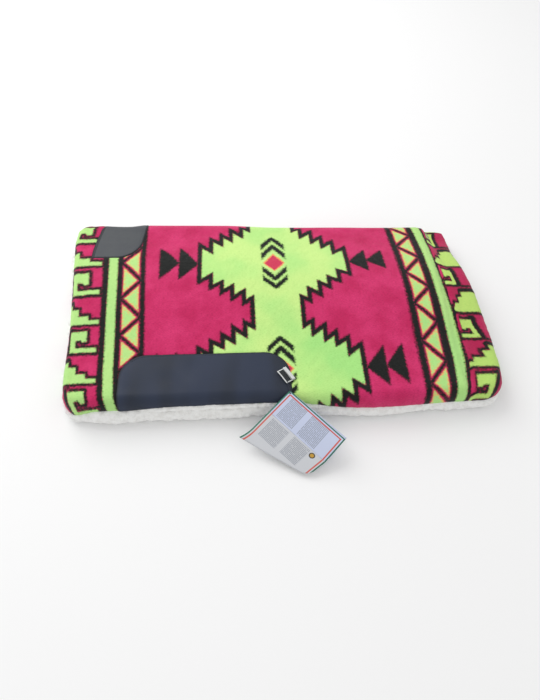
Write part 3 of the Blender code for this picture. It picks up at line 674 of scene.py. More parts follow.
# %% [markdown]
# ## The materials
# Two short classes write the shader nodes: a value that is added and multiplied like a number, and
# a look that adds and joins nodes. All colours are worked out from what the pieces carry in their
# points: places on the cloth in metres, and the distances of the pattern.

# %% Helpers for materials
class Value:
    """What a node puts out, with plain arithmetic."""

    def __init__(self, look, socket):
        self.look, self.socket = look, socket

    def __add__(self, other):
        return self.look.math("ADD", self, other)

    def __radd__(self, other):
        return self.look.math("ADD", other, self)

    def __sub__(self, other):
        return self.look.math("SUBTRACT", self, other)

    def __mul__(self, other):
        return self.look.math("MULTIPLY", self, other)


class Look:
    """A material, written as calls that add and join its nodes."""

    def __init__(self, name):
        self.material = bpy.data.materials.new(name)
        self.material.use_nodes = True
        self.tree = self.material.node_tree
        self.shader = self.tree.nodes["Principled BSDF"]

    def put(self, sockets, values):
        for key, value in values.items():
            if isinstance(value, Value):
                self.tree.links.new(value.socket, sockets[key])
            else:
                sockets[key].default_value = value

    def add(self, kind, inputs, output=0, **settings):
        node = self.tree.nodes.new(kind)
        for key, value in settings.items():
            setattr(node, key, value)
        self.put(node.inputs, inputs)
        return Value(self, node.outputs[output])

    def math(self, operation, *values):
        return self.add("ShaderNodeMath", dict(enumerate(values)), operation=operation)

    def mix(self, share, low, high, way="MIX"):
        colours = {0: share, 6: low, 7: high}
        return self.add("ShaderNodeMix", colours, 2, data_type="RGBA", blend_type=way)

    def step(self, value, low, high, start=0.0, end=1.0):
        """A smooth step from start to end as the value goes from low to high."""
        limits = {0: value, 1: low, 2: high, 3: start, 4: end}
        return self.add("ShaderNodeMapRange", limits, interpolation_type="SMOOTHSTEP")

    def within(self, value, low, high, soft):
        """1 between low and high and 0 outside, with both ends softened inwards."""
        return self.step(value, low, low + soft) * self.step(value, high, high - soft)

    def read(self, name, output="Fac"):
        return self.add("ShaderNodeAttribute", {}, output, attribute_name=name)

    def noise(self, place, scale, detail=2.0, roughness=0.5):
        inputs = {"Vector": place, "Scale": scale, "Detail": detail, "Roughness": roughness}
        return self.add("ShaderNodeTexNoise", inputs)

    def stretch(self, place, x, y, z=1.0):
        return self.add("ShaderNodeVectorMath", {0: place, 1: (x, y, z)}, operation="MULTIPLY")

    def split(self, place):
        """The x and the y of a place."""
        outputs = self.add("ShaderNodeSeparateXYZ", {0: place}).socket.node.outputs
        return Value(self, outputs[0]), Value(self, outputs[1])

    def finish(self, colour, roughness, relief=None, sheen=0.0, specular=0.5):
        """Sets the surface. A relief is a height with its strength and its depth in metres."""
        surface = {"Base Color": colour, "Roughness": roughness}
        surface.update({"Sheen Weight": sheen, "Specular IOR Level": specular})
        if relief is not None:
            bumps = dict(zip(("Height", "Strength", "Distance"), relief))
            surface["Normal"] = self.add("ShaderNodeBump", bumps)
        self.put(self.shader.inputs, surface)
        return self.material


def rgb(red, green, blue):
    """A colour given as a screen shows it, in 0 to 255, as the linear values a shader takes."""
    values = [c / 255.0 for c in (red, green, blue)]
    linear = [c / 12.92 if c < 0.04045 else ((c + 0.055) / 1.055) ** 2.4 for c in values]
    return (*linear, 1.0)


# %% The looks of plush, fleece, felt, leather, thread and cord
def plush_look():
    """Dyed plush: each colour ends where its distance, roughened by the pile, passes zero."""
    look = Look("plush")
    place = look.read("cloth", "Vector")
    x, y = look.split(place)
    pile = look.noise(look.stretch(place, 0.34, 1.2), 720.0, 3.0, 0.65)
    tuft, broad = look.noise(place, 240.0), look.noise(place, 22.0, 3.0)
    blotch = look.noise(place, 9.0)
    ragged = (pile - 0.5) * 9.0 + (tuft - 0.5) * 7.0
    # Past the rear crease the cloth is painted darker and yellower: painted shade where the slumped
    # border turns away from the lamp.
    shade_past_crease = look.step(x, 0.322, 0.334)
    magenta = look.mix(look.step(broad, 0.3, 0.7), rgb(198, 38, 94), rgb(218, 56, 114))
    magenta = look.mix(look.step(pile, 0.25, 0.6, 0.55, 0.0), magenta, rgb(140, 18, 62))
    magenta = look.mix(shade_past_crease * 0.5, magenta, rgb(158, 26, 62))
    greener = look.step(x, 0.0, 0.09) * look.step(y, 0.21, 0.13)
    greener = look.step(blotch, 0.4, 0.62) * 0.6 + greener * 0.6
    lime = look.mix(greener, rgb(206, 240, 144), rgb(170, 230, 134))
    lime = look.mix(look.read("stripe") * 0.7, lime, rgb(178, 224, 138))
    # The lime also gets the painted shade past the rear crease.
    lime = look.mix(shade_past_crease * 0.55, lime, rgb(196, 218, 92))
    lime = look.mix(look.step(pile, 0.25, 0.55, 0.40, 0.0), lime, rgb(120, 190, 80))
    fringe = look.read("fringe") + ragged * 0.5
    warm = look.mix(look.step(fringe, 2.2, 5.0), rgb(214, 70, 92), rgb(234, 186, 112))
    colour = look.mix(look.step(fringe, 0.8, 2.8), magenta, warm)
    colour = look.mix(look.step(look.read("lime") + ragged, -0.8, 0.8), colour, lime)
    lozenge = look.read("lozenge") + ragged * 0.6
    colour = look.mix(look.step(lozenge, -3.4, -1.6), colour, rgb(236, 160, 100))
    colour = look.mix(look.step(lozenge, -0.6, 0.8), colour, rgb(205, 58, 88))
    ink_edge = look.read("ink") + ragged * 0.9
    dusk = look.mix(1.0, colour, rgb(95, 110, 95), "MULTIPLY")
    colour = look.mix(look.step(ink_edge, -3.6, 0.2, 0.0, 0.85), colour, dusk)
    ink = look.mix(look.step(pile, 0.3, 0.7), rgb(12, 14, 13), rgb(30, 32, 30))
    colour = look.mix(look.step(ink_edge, -0.9, 0.9), colour, ink)
    return look.finish(colour, 0.95, (pile + tuft * 0.8, 0.55, 0.0012), 0.12, 0.2)


def fleece_look():
    """Curly white fleece, with painted shade: greyer in the hollows between the tufts."""
    look = Look("fleece")
    place = look.read("cloth", "Vector")
    curl, tuft = look.noise(place, 420.0, 4.0, 0.7), look.noise(place, 110.0, 3.0, 0.6)
    # Lighter on the tufts and greyer between the curls: painted shade in the hollows of the fleece.
    colour = look.mix(look.step(tuft, 0.3, 0.6), rgb(234, 233, 230), rgb(245, 245, 243))
    colour = look.mix(look.step(curl, 0.25, 0.5, 0.30, 0.0), colour, rgb(214, 211, 206))
    return look.finish(colour, 0.96, (curl + tuft * 1.6, 0.45, 0.002), 0.2, 0.2)


def felt_look():
    """Pressed grey felt with flecks."""
    look = Look("felt")
    place = look.read("cloth", "Vector")
    fleck = look.noise(look.stretch(place, 1.0, 0.3), 500.0, 4.0, 0.7)
    cloud = look.noise(place, 60.0, 3.0)
    colour = look.mix(look.step(cloud, 0.35, 0.65), rgb(150, 146, 140), rgb(170, 166, 160))
    colour = look.mix(look.step(fleck, 0.6, 0.75), colour, rgb(96, 92, 88))
    return look.finish(colour, 0.93, (fleck + cloud, 0.4, 0.001))


def leather_look():
    """Blue-grey leather, matte, with a fine grain, a darker pressed edge and painted sheen."""
    look = Look("leather")
    place = look.read("cloth", "Vector")
    x, v = look.split(place)
    grain = look.add("ShaderNodeTexVoronoi", {"Vector": place, "Scale": 900.0})
    cloud = look.noise(place, 26.0, 4.0, 0.6)
    patch = look.step(cloud, 0.35, 0.65)
    scuff = look.noise(look.stretch(place, 1.0, 4.0), 70.0, 5.0, 0.7)
    # wave lays soft bands across the leather, lighter and bluer: painted sheen of its gentle
    # undulations.
    wave = look.noise(look.stretch(place, 1.0, 0.22), 17.0, 1.0)
    at_withers = look.step(v, 0.20, 0.25)
    colour = look.mix(look.step(wave, 0.36, 0.64), rgb(28, 35, 48), rgb(37, 46, 66))
    colour = look.mix(patch * 0.25, colour, rgb(48, 56, 72))
    # The withers leather is painted lighter and greyer: a painted reflection of the light where it
    # curves towards the fold, over mottled tones.
    colour = look.mix(at_withers, colour, look.mix(patch, rgb(64, 67, 72), rgb(74, 77, 80)))
    colour = look.mix(look.step(scuff, 0.62, 0.8, 0.0, 0.3), colour, rgb(90, 96, 108))
    binding = at_withers * look.step(x, -0.3425, -0.3435)
    colour = look.mix(binding * 0.8, colour, rgb(26, 29, 34))
    rim = look.step(look.read("edge"), 2.2, 3.6, 0.75, 0.0)
    colour = look.mix(rim, colour, rgb(24, 27, 34))
    roughness = look.step(cloud, 0.3, 0.7, 0.52, 0.64)
    return look.finish(colour, roughness, (grain + scuff * 0.5, 0.18, 0.0006), 0.0, 0.3)


def fibre_look(name, scale, detail, dark, light, depth, roughness):
    """Thread or cord: fine fibres between a dark colour and a lighter one."""
    look = Look(name)
    fibre = look.noise(look.read("cloth", "Vector"), scale, detail)
    return look.finish(look.mix(fibre, dark, light), roughness, (fibre, 0.4, depth))


PLUSH, FLEECE, FELT, LEATHER = plush_look(), fleece_look(), felt_look(), leather_look()
THREAD = fibre_look("thread", 1500.0, 2.0, rgb(26, 29, 36), rgb(58, 62, 72), 0.0003, 0.6)
CORD_LOOK = fibre_look("cord", 2600.0, 3.0, rgb(20, 24, 36), rgb(56, 62, 80), 0.0002, 0.7)


# %% Making the three spans of the cover
REAR_CREASE, FRONT_CREASE = 0.0045, 0.0020
LEATHER_SINK = 0.0018
TURNED_IN = ((0.0012, 0.0013), (0.0070, 0.0019))
near_cover, mid_cover, off_cover = (make_cover(part, step=0.0024) for part in PARTS)


# %% [markdown]
# ## The fleece lining
# The lining shows at the hem as a fluffy lip under the cover, and it is the whole inner face when
# the pad lies open. Its lip is a tube swept along the edge: on the upper flap it fills the space
# under the hem, and on the lower flap it is pressed out and hangs over the edge, down to the
# ground. Noise at three sizes makes the tufts.

# %% The lip of the lining
FLEECE_GAP = 0.0012
LIP_STEP, LIP_SIDES = 0.0017, 29
LIP_WIDE = 0.0105


def edge_path(part, step):
    """Stations along the hem line of one span, from the fold along the front side, round the near
    hem and back along the rear side: x, reach, outward direction and angle round the fold."""
    flat = NEAR_FLAT if part != "off" else OFF_FLAT
    turns = int(round(SEAM * HALF_STACK / step)) + 1
    half = 0.5 * WIDTH
    if part == "mid":
        angle = np.linspace(SEAM, 2.0 * SEAM, turns)
        ones = np.ones(turns)
        sides = [(-ones * half, ones * flat, -ones, 0.0 * ones, angle)]
        return sides + [(ones * half, ones * flat, ones, 0.0 * ones, angle)]
    turn = np.linspace(SEAM, 0.0, turns)[:-1]
    down = np.linspace(flat, CORNER, int((flat - CORNER) / step))
    bend = np.linspace(0.0, 0.5 * np.pi, int(0.5 * np.pi * CORNER / step))[1:]
    across = np.linspace(-half + CORNER, 0.0, int((half - CORNER) / step))[1:]
    x = [-half + 0.0 * turn, -half + 0.0 * down, -half + CORNER - CORNER * np.cos(bend), across]
    reach = [flat + 0.0 * turn, down, CORNER - CORNER * np.sin(bend), 0.0 * across]
    out_x = [-1.0 + 0.0 * turn, -1.0 + 0.0 * down, -np.cos(bend), 0.0 * across]
    out_y = [0.0 * turn, 0.0 * down, -np.sin(bend), -1.0 + 0.0 * across]
    angle = [turn, 0.0 * down, 0.0 * bend, 0.0 * across]
    first = [np.concatenate(c) for c in (x, reach, out_x, out_y, angle)]
    second = [c[-2::-1] * sign for c, sign in zip(first, (-1.0, 1.0, -1.0, 1.0, 1.0))]
    return [tuple(np.concatenate(pair) for pair in zip(first, second))]


def lip_tube(path, part):
    """Points of the lip's tube over a path: its section is an oval, wider where it hangs free.

    On the upper flap it fills the room under the cover's edge. On the lower flap it lies between
    the ground and the edge above it, and turns into the upper one's shape towards the fold.
    """
    x, reach, out_x, out_y, angle = (c[:, None] for c in path)
    upper = part != "off"
    flat = NEAR_FLAT if upper else OFF_FLAT
    drop = hem_drop(x, reach, upper, angle) + FLEECE_GAP
    around = np.pi * (0.62 - 2.0 * np.linspace(0.0, 1.0, LIP_SIDES)[None, :])
    room = HALF_STACK - drop
    at_fold = ease((reach - flat + 0.050) / 0.050)
    middle_out = -0.006 - 0.008 * (1.0 - ease(room / 0.006)) - 0.006 * at_fold
    out = middle_out + LIP_WIDE * np.cos(around)
    depth = drop + 0.5 * np.maximum(room, 0.004) * (1.0 - np.sin(around)) * 0.98
    if not upper:
        hem = out_y**2 * (x < 0.5 * WIDTH)
        under = 2.0 * HALF_STACK - hem_drop(x, reach, True) - FLEECE_GAP
        top = np.minimum(0.0306, under + 0.0004)
        low = 0.0020 * hem + 0.0215 * (1.0 - hem)
        wide = 0.0115 * hem + 0.009 * (1.0 - hem)
        further = ease((0.01 - x) / 0.10) - 0.8 * ease((-0.29 - x) / 0.06)
        middle_out = 0.0055 * hem - 0.004 * (1.0 - hem) + 0.006 * hem * further
        low_out = middle_out + wide * np.cos(around)
        low_depth = 0.5 * (top + low) + 0.5 * (top - low) * np.sin(around)
        out = low_out + (out - low_out) * at_fold
        depth = low_depth + (depth - low_depth) * at_fold
    return stack_place(x + out_x * out, reach + out_y * out, angle, depth, upper)


def tufts(points, normal, size, height, seed):
    """Pushes points out by layered noise, rounded so that tufts are plump and gaps are narrow."""
    x, y, z = points[..., 0], points[..., 1], points[..., 2]
    big = 1.0 - np.abs(noise(x, y, z, size, seed))
    small = 1.0 - np.abs(noise(x, y, z, 0.45 * size, seed + 1))
    broad = noise(x, y, z, 4.0 * size, seed + 2)
    lift = height * (0.62 * big + 0.38 * small - 0.55 + 0.35 * broad)
    return points + normal * lift[..., None]


def seam_fade(angle, part):
    """1 over a span and 0 at its seams, so that neighbouring spans meet exactly."""
    gap = 0.5 * SEAM - np.abs(angle - 1.5 * SEAM) if part == "mid" else SEAM - angle
    return ease(gap / (0.25 * SEAM))[..., None]


def sagging_hem(s):
    """How far the upper cover's edge hangs near the hem, and how far it presses layers down."""
    drop = hem_drop(s.x, s.reach, True, s.angle) * (s.reach < 0.09)
    press = np.maximum(drop + HEM_PRESS - HALF_STACK, 0.0)
    return drop, press * (1.0 - ease((s.inset - 0.020) / 0.035))


def make_lining(part, step):
    """The fleece of one span: its inner face and its lip, in one mesh."""
    s = span(part, step)
    drop, press = sagging_hem(s)
    sign = 1.0 if s.upper else -1.0
    tuck = 0.0036 * (1.0 - ease(s.inset / 0.012))
    depth = HALF_STACK - FLEECE_GAP - tuck + sign * press
    if s.upper:
        depth = np.maximum(depth, drop + 0.0030)
    points = span_place(s, depth)
    normal = normals_of(points) * sign * seam_fade(s.angle, part)
    inner = tufts(points, normal, 0.009, 0.0016, 11)
    rows, steps = s.x.shape
    all_points, faces = [inner.reshape(-1, 3)], [grid_faces(rows, steps, flip=s.upper)]
    cloth = [flat_points(*cloth_place(s)) / 1000.0]
    count = rows * steps
    flat = NEAR_FLAT if s.upper else OFF_FLAT
    for path in edge_path(part, LIP_STEP):
        x, reach, angle = path[0], path[1], path[4]
        tube = lip_tube(path, part)
        away = tube - tube.mean(1, keepdims=True)
        normal = normals_of(tube)
        outwards = np.sign((normal * away).sum(-1).mean())
        normal = normal * outwards * seam_fade(angle[:, None], part)
        room = HALF_STACK - hem_drop(x, reach, s.upper, angle)
        calm = 1.0 - 0.85 * ease((reach - flat + 0.060) / 0.060)
        height = (0.0060 * (0.25 + 0.75 * ease(room / 0.008)) * calm)[:, None]
        tube = tufts(tube, normal, 0.0120, height, 15)
        facing = np.cross(*np.gradient(tube, axis=(0, 1)))
        flip = bool((facing * away).sum(-1).mean() < 0.0)
        rows, steps = tube.shape[:2]
        all_points.append(tube.reshape(-1, 3))
        faces.append(grid_faces(rows, steps, flip=flip, start=count))
        count += rows * steps
        cloth.append(tube.reshape(-1, 3))
    points, faces = np.concatenate(all_points), np.concatenate(faces)
    return build(part + "_fleece_lining", points, faces, FLEECE, cloth=np.concatenate(cloth))


near_lining, mid_lining, off_lining = (make_lining(part, step=0.005) for part in PARTS)


# %% [markdown]
# ## The felt core
# The core gives the pad its body. It's pressed felt, hidden between cover and lining, and shows
# at most as the pad is bent open. Each span is a closed slab with softened faces.

# %% The core
CORE_INSET, CORE_TOP, CORE_UNDER, CORE_GAP = 0.0125, 0.0078, 0.0180, 0.0032


def make_core(part, step):
    """The felt slab of one span."""
    s = span(part, step)
    rows = np.where(s.side[:, 0] >= CORE_INSET)[0]
    columns = np.where(s.reach[len(s.side) // 2] >= CORE_INSET)[0]
    inner = {key: grid[np.ix_(rows, columns)] for key, grid in vars(s).items() if key != "upper"}
    inner = SimpleNamespace(upper=s.upper, **inner)
    top = CORE_TOP + 0.0034 * (1.0 - ease((inner.inset - 0.012) / 0.008))
    under = np.full(top.shape, CORE_UNDER)
    if not s.upper:
        under = np.minimum(under, HALF_STACK - CORE_GAP - sagging_hem(inner)[1])
    top, under = span_place(inner, top), span_place(inner, under)
    cloth = flat_points(*cloth_place(inner)) / 1000.0
    return closed_sheet(part + "_felt_core", top, under, FELT, cloth, not s.upper)


near_core, mid_core, off_core = (make_core(part, step=0.009) for part in PARTS)


# %% [markdown]
# ## The leathers
# Smooth blue-grey leather takes the wear at the hem of both flaps, and one strip protects the
# withers. Each is cut with rounded corners, pressed into the pile and sewn down close to its edge.
# A leather is drawn flat: x along the pad, and v the way over the cover from the hem's foot. One
# function lays such a place on the face of the cover, so grids and seams both follow it.

# %% Laying a flat piece on the cover
HEM_ARC = HEM_RUN + HEM_SAVING
WEAR_LINE = WEAR_TOP + HEM_SAVING
WITHERS_LINE = WITHERS_START + HEM_SAVING
SEAM_INSET, LEATHER_DEPTH = 0.0042, 0.0016


def on_face(x, v, upper):
    """The settled place of a flat point: round the hem, over the flap and round the fold."""
    flat = NEAR_FLAT if upper else OFF_FLAT
    theta = 0.5 * np.pi * clamp(v / HEM_ARC)
    run = np.where(v < HEM_ARC, HEM_RUN * (1.0 - np.cos(theta)), v - HEM_SAVING)
    reach, angle = np.minimum(run, flat), np.maximum(run - flat, 0.0) / HALF_STACK
    depth = hem_drop(x, reach, upper) * (1.0 - np.sin(theta))
    side_turn = hem_turn(0.5 * WIDTH - np.abs(x))
    depth = np.maximum(depth, HEM_DROP * (1.0 - side_turn)) + np.maximum(-v, 0.0)
    return stack_place(x, reach, angle, depth, upper)


def hem_rise(v):
    """How far a leather stands off the cover, more and more round the turned hem."""
    return 0.0009 * (1.0 - clamp(v / HEM_ARC))


def leather_piece(name, x, v, edge, upper, slide=0.0, seams=()):
    """A leather over a grid of flat places: its edge rolls down, and its seam is drawn in."""
    face = on_face(x + slide, v, upper)
    normal = normals_of(face) * (1.0 if upper else -1.0)
    roll = 1.0 - (1.0 - clamp(edge / 0.0022)) ** 2
    wave = 0.0008 * noise(x, 0.35 * v, 0.0, 0.042, 21) + 0.0002 * noise(x, v, 0.0, 0.017, 22)
    seam = 0.0005 * bump((edge - SEAM_INSET) / 0.0013)
    lift = (0.0006 if upper else -0.0002) - LEATHER_DEPTH * (1.0 - roll)
    lift = lift + (wave - seam + hem_rise(v)) * roll
    top, under = face + normal * lift[..., None], face - normal * LEATHER_DEPTH
    flat = flat_points(x, v)
    return closed_sheet(name, top, under, LEATHER, flat, not upper, seams, edge=1000.0 * edge)


# %% The seams
def arc(centre, radius, start, end, count=24):
    """Flat places along an arc, with angles in degrees."""
    turn = np.radians(np.linspace(start, end, count))
    return np.stack([centre[0] + radius * np.cos(turn), centre[1] + radius * np.sin(turn)], -1)


def line(*corners):
    """Flat places a millimetre apart along straight lines between corners."""
    pieces = []
    for a, b in zip(corners, corners[1:]):
        count = max(2, int(math.dist(a, b) / 0.001))
        pieces.append(np.linspace(a, b, count))
    return np.concatenate(pieces)


def stitches(name, path, upper, step=0.0058, length=0.0040, radius=0.00038):
    """Thread along a flat path: a short spindle for each stitch, half sunk in the leather."""
    rings, sides = 5, 6
    run = np.concatenate([[0.0], np.cumsum(np.hypot(*np.diff(path, axis=0).T))])
    t = np.linspace(-1.0, 1.0, rings)
    where = (np.arange(0.6 * step, run[-1] - 0.5 * step, step)[:, None] + 0.5 * length * t).ravel()
    x, v = np.interp(where, run, path[:, 0]), np.interp(where, run, path[:, 1])
    centre = on_face(x, v, upper)
    up = np.cross(on_face(x + 1e-4, v, upper) - centre, on_face(x, v + 1e-4, upper) - centre)
    up = unit(up) * (1.0 if upper else -1.0)
    lift = (0.0004 if upper else -0.0003) + hem_rise(v)
    centre = (centre + up * lift[:, None]).reshape(-1, rings, 3)
    up = up.reshape(-1, rings, 3)
    side = unit(np.cross(np.gradient(centre, axis=1), up))
    thick = radius * np.sqrt(1.0 - 0.9 * t**2)[None, :, None]
    turn = np.linspace(0.0, 2.0 * np.pi, sides + 1)[:-1]
    points = np.stack([centre + thick * (side * np.cos(a) + up * np.sin(a)) for a in turn], 2)
    counts = (len(centre), rings - 1, sides)
    i, j, k = np.meshgrid(*(np.arange(count) for count in counts), indexing="ij")
    low = (i * rings + j) * sides
    high, after = low + sides, (k + 1) % sides
    quads = np.stack([low + k, high + k, high + after, low + after], -1).reshape(-1, 4)
    return build(name, points, quads, THREAD, cloth=points.reshape(-1, 3))


# %% The wear leathers
WEAR_FOOT = 0.0028


def corner_stations(low, high, radius, both, step=0.0034):
    """The x of a leather's rows, and how much its rounded corners take off each row's height."""
    turn = np.linspace(0.0, 0.5 * np.pi, 15)
    along, lost = radius * (1.0 - np.cos(turn)), radius * (1.0 - np.sin(turn))
    start = low + radius if both else low
    middle = np.linspace(start, high - radius, int((high - low) / step))[1:-1]
    first = (low + along, lost) if both else (np.array([low]), np.zeros(1))
    x = np.concatenate([first[0], middle, high - along[::-1]])
    return x, np.concatenate([first[1], 0.0 * middle, lost[::-1]])


def wear_leather(part, upper):
    """A wear leather and its seam: from the foot of the hem, round it, and up over the flap."""
    x, lost = corner_stations(WEAR_FRONT, WEAR_REAR, WEAR_ROUND, both=True)
    lost = lost[:, None]
    foot = np.concatenate([[-WEAR_FOOT], np.linspace(0.0, HEM_ARC, 14)])[None, :]
    t = (np.linspace(0.0, 1.0, 32) ** 0.8)[None, 1:]
    v = np.concatenate([foot + 0.0 * lost, HEM_ARC + (WEAR_LINE - lost - HEM_ARC) * t], 1)
    x = np.broadcast_to(x[:, None], v.shape)
    box = rounded_box(x, v, (WEAR_FRONT, -0.2), (WEAR_REAR, WEAR_LINE), WEAR_ROUND)
    edge = np.maximum(np.minimum(box, v + WEAR_FOOT), 0.0)
    piece = leather_piece(part + "_wear_leather_patch", x, v, edge, upper)
    low, high, top = WEAR_FRONT + SEAM_INSET, WEAR_REAR - SEAM_INSET, WEAR_LINE - SEAM_INSET
    first, last, bend = WEAR_FRONT + WEAR_ROUND, WEAR_REAR - WEAR_ROUND, WEAR_LINE - WEAR_ROUND
    path = np.concatenate([
        line((low, 0.004), (low, bend)),
        arc((first, bend), WEAR_ROUND - SEAM_INSET, 180.0, 90.0),
        line((first, top), (last, top)),
        arc((last, bend), WEAR_ROUND - SEAM_INSET, 90.0, 0.0),
        line((high, bend), (high, 0.004)),
    ])
    return piece, stitches(part + "_wear_stitching", path, upper)


near_wear, near_seam = wear_leather("near", True)
off_wear, off_seam = wear_leather("off", False)


# %% The withers leather
def withers_leather(part):
    """One span of the withers leather and its seam."""
    upper = part != "off"
    flat = NEAR_FLAT if upper else OFF_FLAT
    seam_v = flat + HEM_SAVING + HALF_STACK * SEAM
    x, lost = corner_stations(WITHERS_FRONT, WITHERS_REAR, WITHERS_ROUND, both=False)
    low, high = WITHERS_FRONT + SEAM_INSET, WITHERS_REAR - SEAM_INSET
    if part == "mid":
        end_v = seam_v + HALF_STACK * SEAM
        v = np.broadcast_to(np.linspace(seam_v, end_v, 16), (len(x), 16))
        start = seam_v - 1.0
        paths = [line((low, seam_v), (low, end_v)), line((high, seam_v), (high, end_v))]
    else:
        start = WITHERS_LINE
        foot = (start + lost)[:, None]
        v = foot + (seam_v - foot) * np.linspace(0.0, 1.0, 46)[None, :]
        bend = start + WITHERS_ROUND
        centre = (WITHERS_REAR - WITHERS_ROUND, bend)
        paths = [np.concatenate([
            line((high, seam_v), (high, bend)),
            arc(centre, WITHERS_ROUND - SEAM_INSET, 0.0, -90.0),
            line((centre[0], start + SEAM_INSET), (low, start + SEAM_INSET), (low, seam_v)),
        ])]
    x = np.broadcast_to(x[:, None], v.shape)
    box = rounded_box(x, v, (WITHERS_FRONT - 0.2, start), (WITHERS_REAR, 3.0), WITHERS_ROUND)
    edge = np.maximum(np.minimum(box, x - WITHERS_FRONT), 0.0)
    slide = lean(v - HEM_SAVING)
    seams = (0, v.shape[1] - 1) if part == "mid" else (v.shape[1] - 1,)
    pieces = [leather_piece(part + "_withers_leather_patch", x, v, edge, upper, slide, seams)]
    for path, end in zip(paths, ("", "_rear")):
        path = np.stack([path[:, 0] + lean(path[:, 1] - HEM_SAVING), path[:, 1]], -1)
        pieces.append(stitches(part + "_withers_stitching" + end, path, upper))
    return pieces


near_withers, mid_withers, off_withers = (withers_leather(part) for part in PARTS)


# %% [markdown]
# ## The label, the tie and the hang tag
# A white woven label is folded over at its lower side and sits at the corner of the wear leather.
# A twisted cord goes through its hole and holds a printed paper tag, which leans over the hem, with
# its lower half bent at a crease. The print stays without words: plain bars and one plain disc.

# %% Directions of the label, the tie and the tag
UP = np.array([0.0, 0.0, 1.0])


def level(degrees):
    """A level direction, by its heading from +x."""
    return np.array([math.cos(math.radians(degrees)), math.sin(math.radians(degrees)), 0.0])


TIE_WAY = level(-82.0)
TIE_BEND, TIE_LENGTH, CORD, TWIST = 0.0032, 0.024, 0.0010, 0.0032
TIE_MIDDLE = 0.5 * sum(np.array(corner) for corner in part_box("tag_tie"))
LABEL_HOLE = TIE_MIDDLE - TIE_WAY * 0.5 * TIE_LENGTH
TAG_HOLE = TIE_MIDDLE + TIE_WAY * 0.5 * TIE_LENGTH
HOLE = 0.0013
LABEL_ALONG, LABEL_LEVEL = level(-57.0), level(-147.0)
LABEL_LENGTH, LABEL_WIDTH, LABEL_THICK, LABEL_BEND = 0.028, 0.018, 0.0007, 0.0012
LABEL_FLAP, LABEL_INSET = 0.006, 0.0030
TAG_WIDTH, TAG_HEIGHT, PAPER_THICK, TAG_INSET = 0.114, 0.100, 0.0005, 0.0035
TAG_SLOPE, TAG_WORN = math.radians(12.0), 0.015
SHEET_TURN, SHEET_GAP, SHEET_MARGIN = math.radians(1.5), 0.0009, 0.0060
tag_level = level(-43.0)
TAG_ALONG = tag_level * math.cos(TAG_SLOPE) - UP * math.sin(TAG_SLOPE)
tag_raised = tag_level * math.sin(TAG_SLOPE) + UP * math.cos(TAG_SLOPE)
side_fall = (TAG_WIDTH - TAG_INSET) * math.sin(TAG_SLOPE)
tag_fall = TAG_HOLE[2] - side_fall - 0.0003 - PAPER_THICK
tag_roll = math.asin(tag_fall / (TAG_HEIGHT - TAG_INSET) / math.cos(TAG_SLOPE))
TAG_DOWN = level(-133.0) * math.cos(tag_roll) - tag_raised * math.sin(tag_roll)
TAG_NORMAL = np.cross(TAG_DOWN, TAG_ALONG)
TAG_CORNER = TAG_HOLE - (TAG_ALONG + TAG_DOWN) * TAG_INSET
print("label hole", LABEL_HOLE.round(5), "tag hole", TAG_HOLE.round(5))


# %% The looks of paper and woven tape
def paper_look():
    """Printed paper: a striped border, blocks of plain grey bars, one plain disc, a faint gloss."""
    look = Look("paper")
    place = look.read("cloth", "Vector")
    a, b = look.split(look.stretch(place, 1000.0, 1000.0))
    face = look.math("GREATER_THAN", look.read("face"), 0.5)
    fibre = look.noise(place, 900.0, 4.0, 0.7)
    tone = look.mix(look.step(b, 49.0, 51.0), rgb(200, 208, 232), rgb(206, 208, 212))
    tone = look.mix(fibre * 0.10, tone, rgb(160, 165, 180))
    row = look.math("DIVIDE", a, 2.35)
    index = look.math("FLOOR", row)
    part = row - index
    bar = look.step(part, 0.18, 0.30) * look.step(part, 0.86, 0.74)
    cells = look.add("ShaderNodeCombineXYZ", {0: b * 0.45, 1: index})
    words = look.step(look.noise(cells, 1.0, 1.0), 0.36, 0.42)
    blocks = ((12, 45, 6, 47), (54, 89, 6, 47), (11, 46, 53, 90), (55, 88, 52, 88))
    printed = sum(look.within(a, *c[:2], 0.4) * look.within(b, *c[2:], 0.4) for c in blocks)
    colour = look.mix(bar * words * printed * 0.75 * face, tone, rgb(128, 134, 146))
    across, down = (
        look.math("POWER", look.math("ABSOLUTE", v), 2.0) for v in (a - 94.0, b - 56.5)
    )
    away = look.math("SQRT", across + down)
    colour = look.mix(look.step(away, 4.9, 4.6) * face, colour, rgb(52, 50, 44))
    colour = look.mix(look.step(away, 3.3, 3.0) * face, colour, rgb(196, 152, 60))
    far_side = look.math("SUBTRACT", 114.0, a)
    edge = look.math("MINIMUM", look.math("MINIMUM", a, far_side), b)
    red = look.step(edge, 4.0, 4.3) * look.step(edge, 6.5, 6.2)
    colour = look.mix(red * face, colour, rgb(204, 92, 78))
    colour = look.mix(look.step(edge, 2.2, 1.9) * face, colour, rgb(28, 108, 84))
    return look.finish(colour, 0.55, (fibre, 0.08, 0.0003), 0.0, 0.4)


def label_look():
    """White woven tape: over and under threads, with one plain dark field woven in."""
    look = Look("label")
    place = look.read("cloth", "Vector")
    x, y = look.split(place)
    weave = look.math("SINE", x * 13000.0) * look.math("SINE", y * 13000.0)
    soil = look.noise(place, 180.0, 3.0)
    colour = look.mix(look.step(weave, -1.0, 1.0), rgb(202, 204, 204), rgb(228, 230, 228))
    colour = look.mix(look.step(soil, 0.55, 0.8, 0.0, 0.3), colour, rgb(188, 186, 180))
    field = look.within(y * 1000.0, 15.4, 25.9, 0.4) * look.within(x * 1000.0, 1.5, 26.3, 0.4)
    colour = look.mix(field, colour, rgb(38, 42, 44))
    return look.finish(colour, 0.8, (weave, 0.4, 0.0002), 0.1, 0.3)


PAPER, LABEL = paper_look(), label_look()


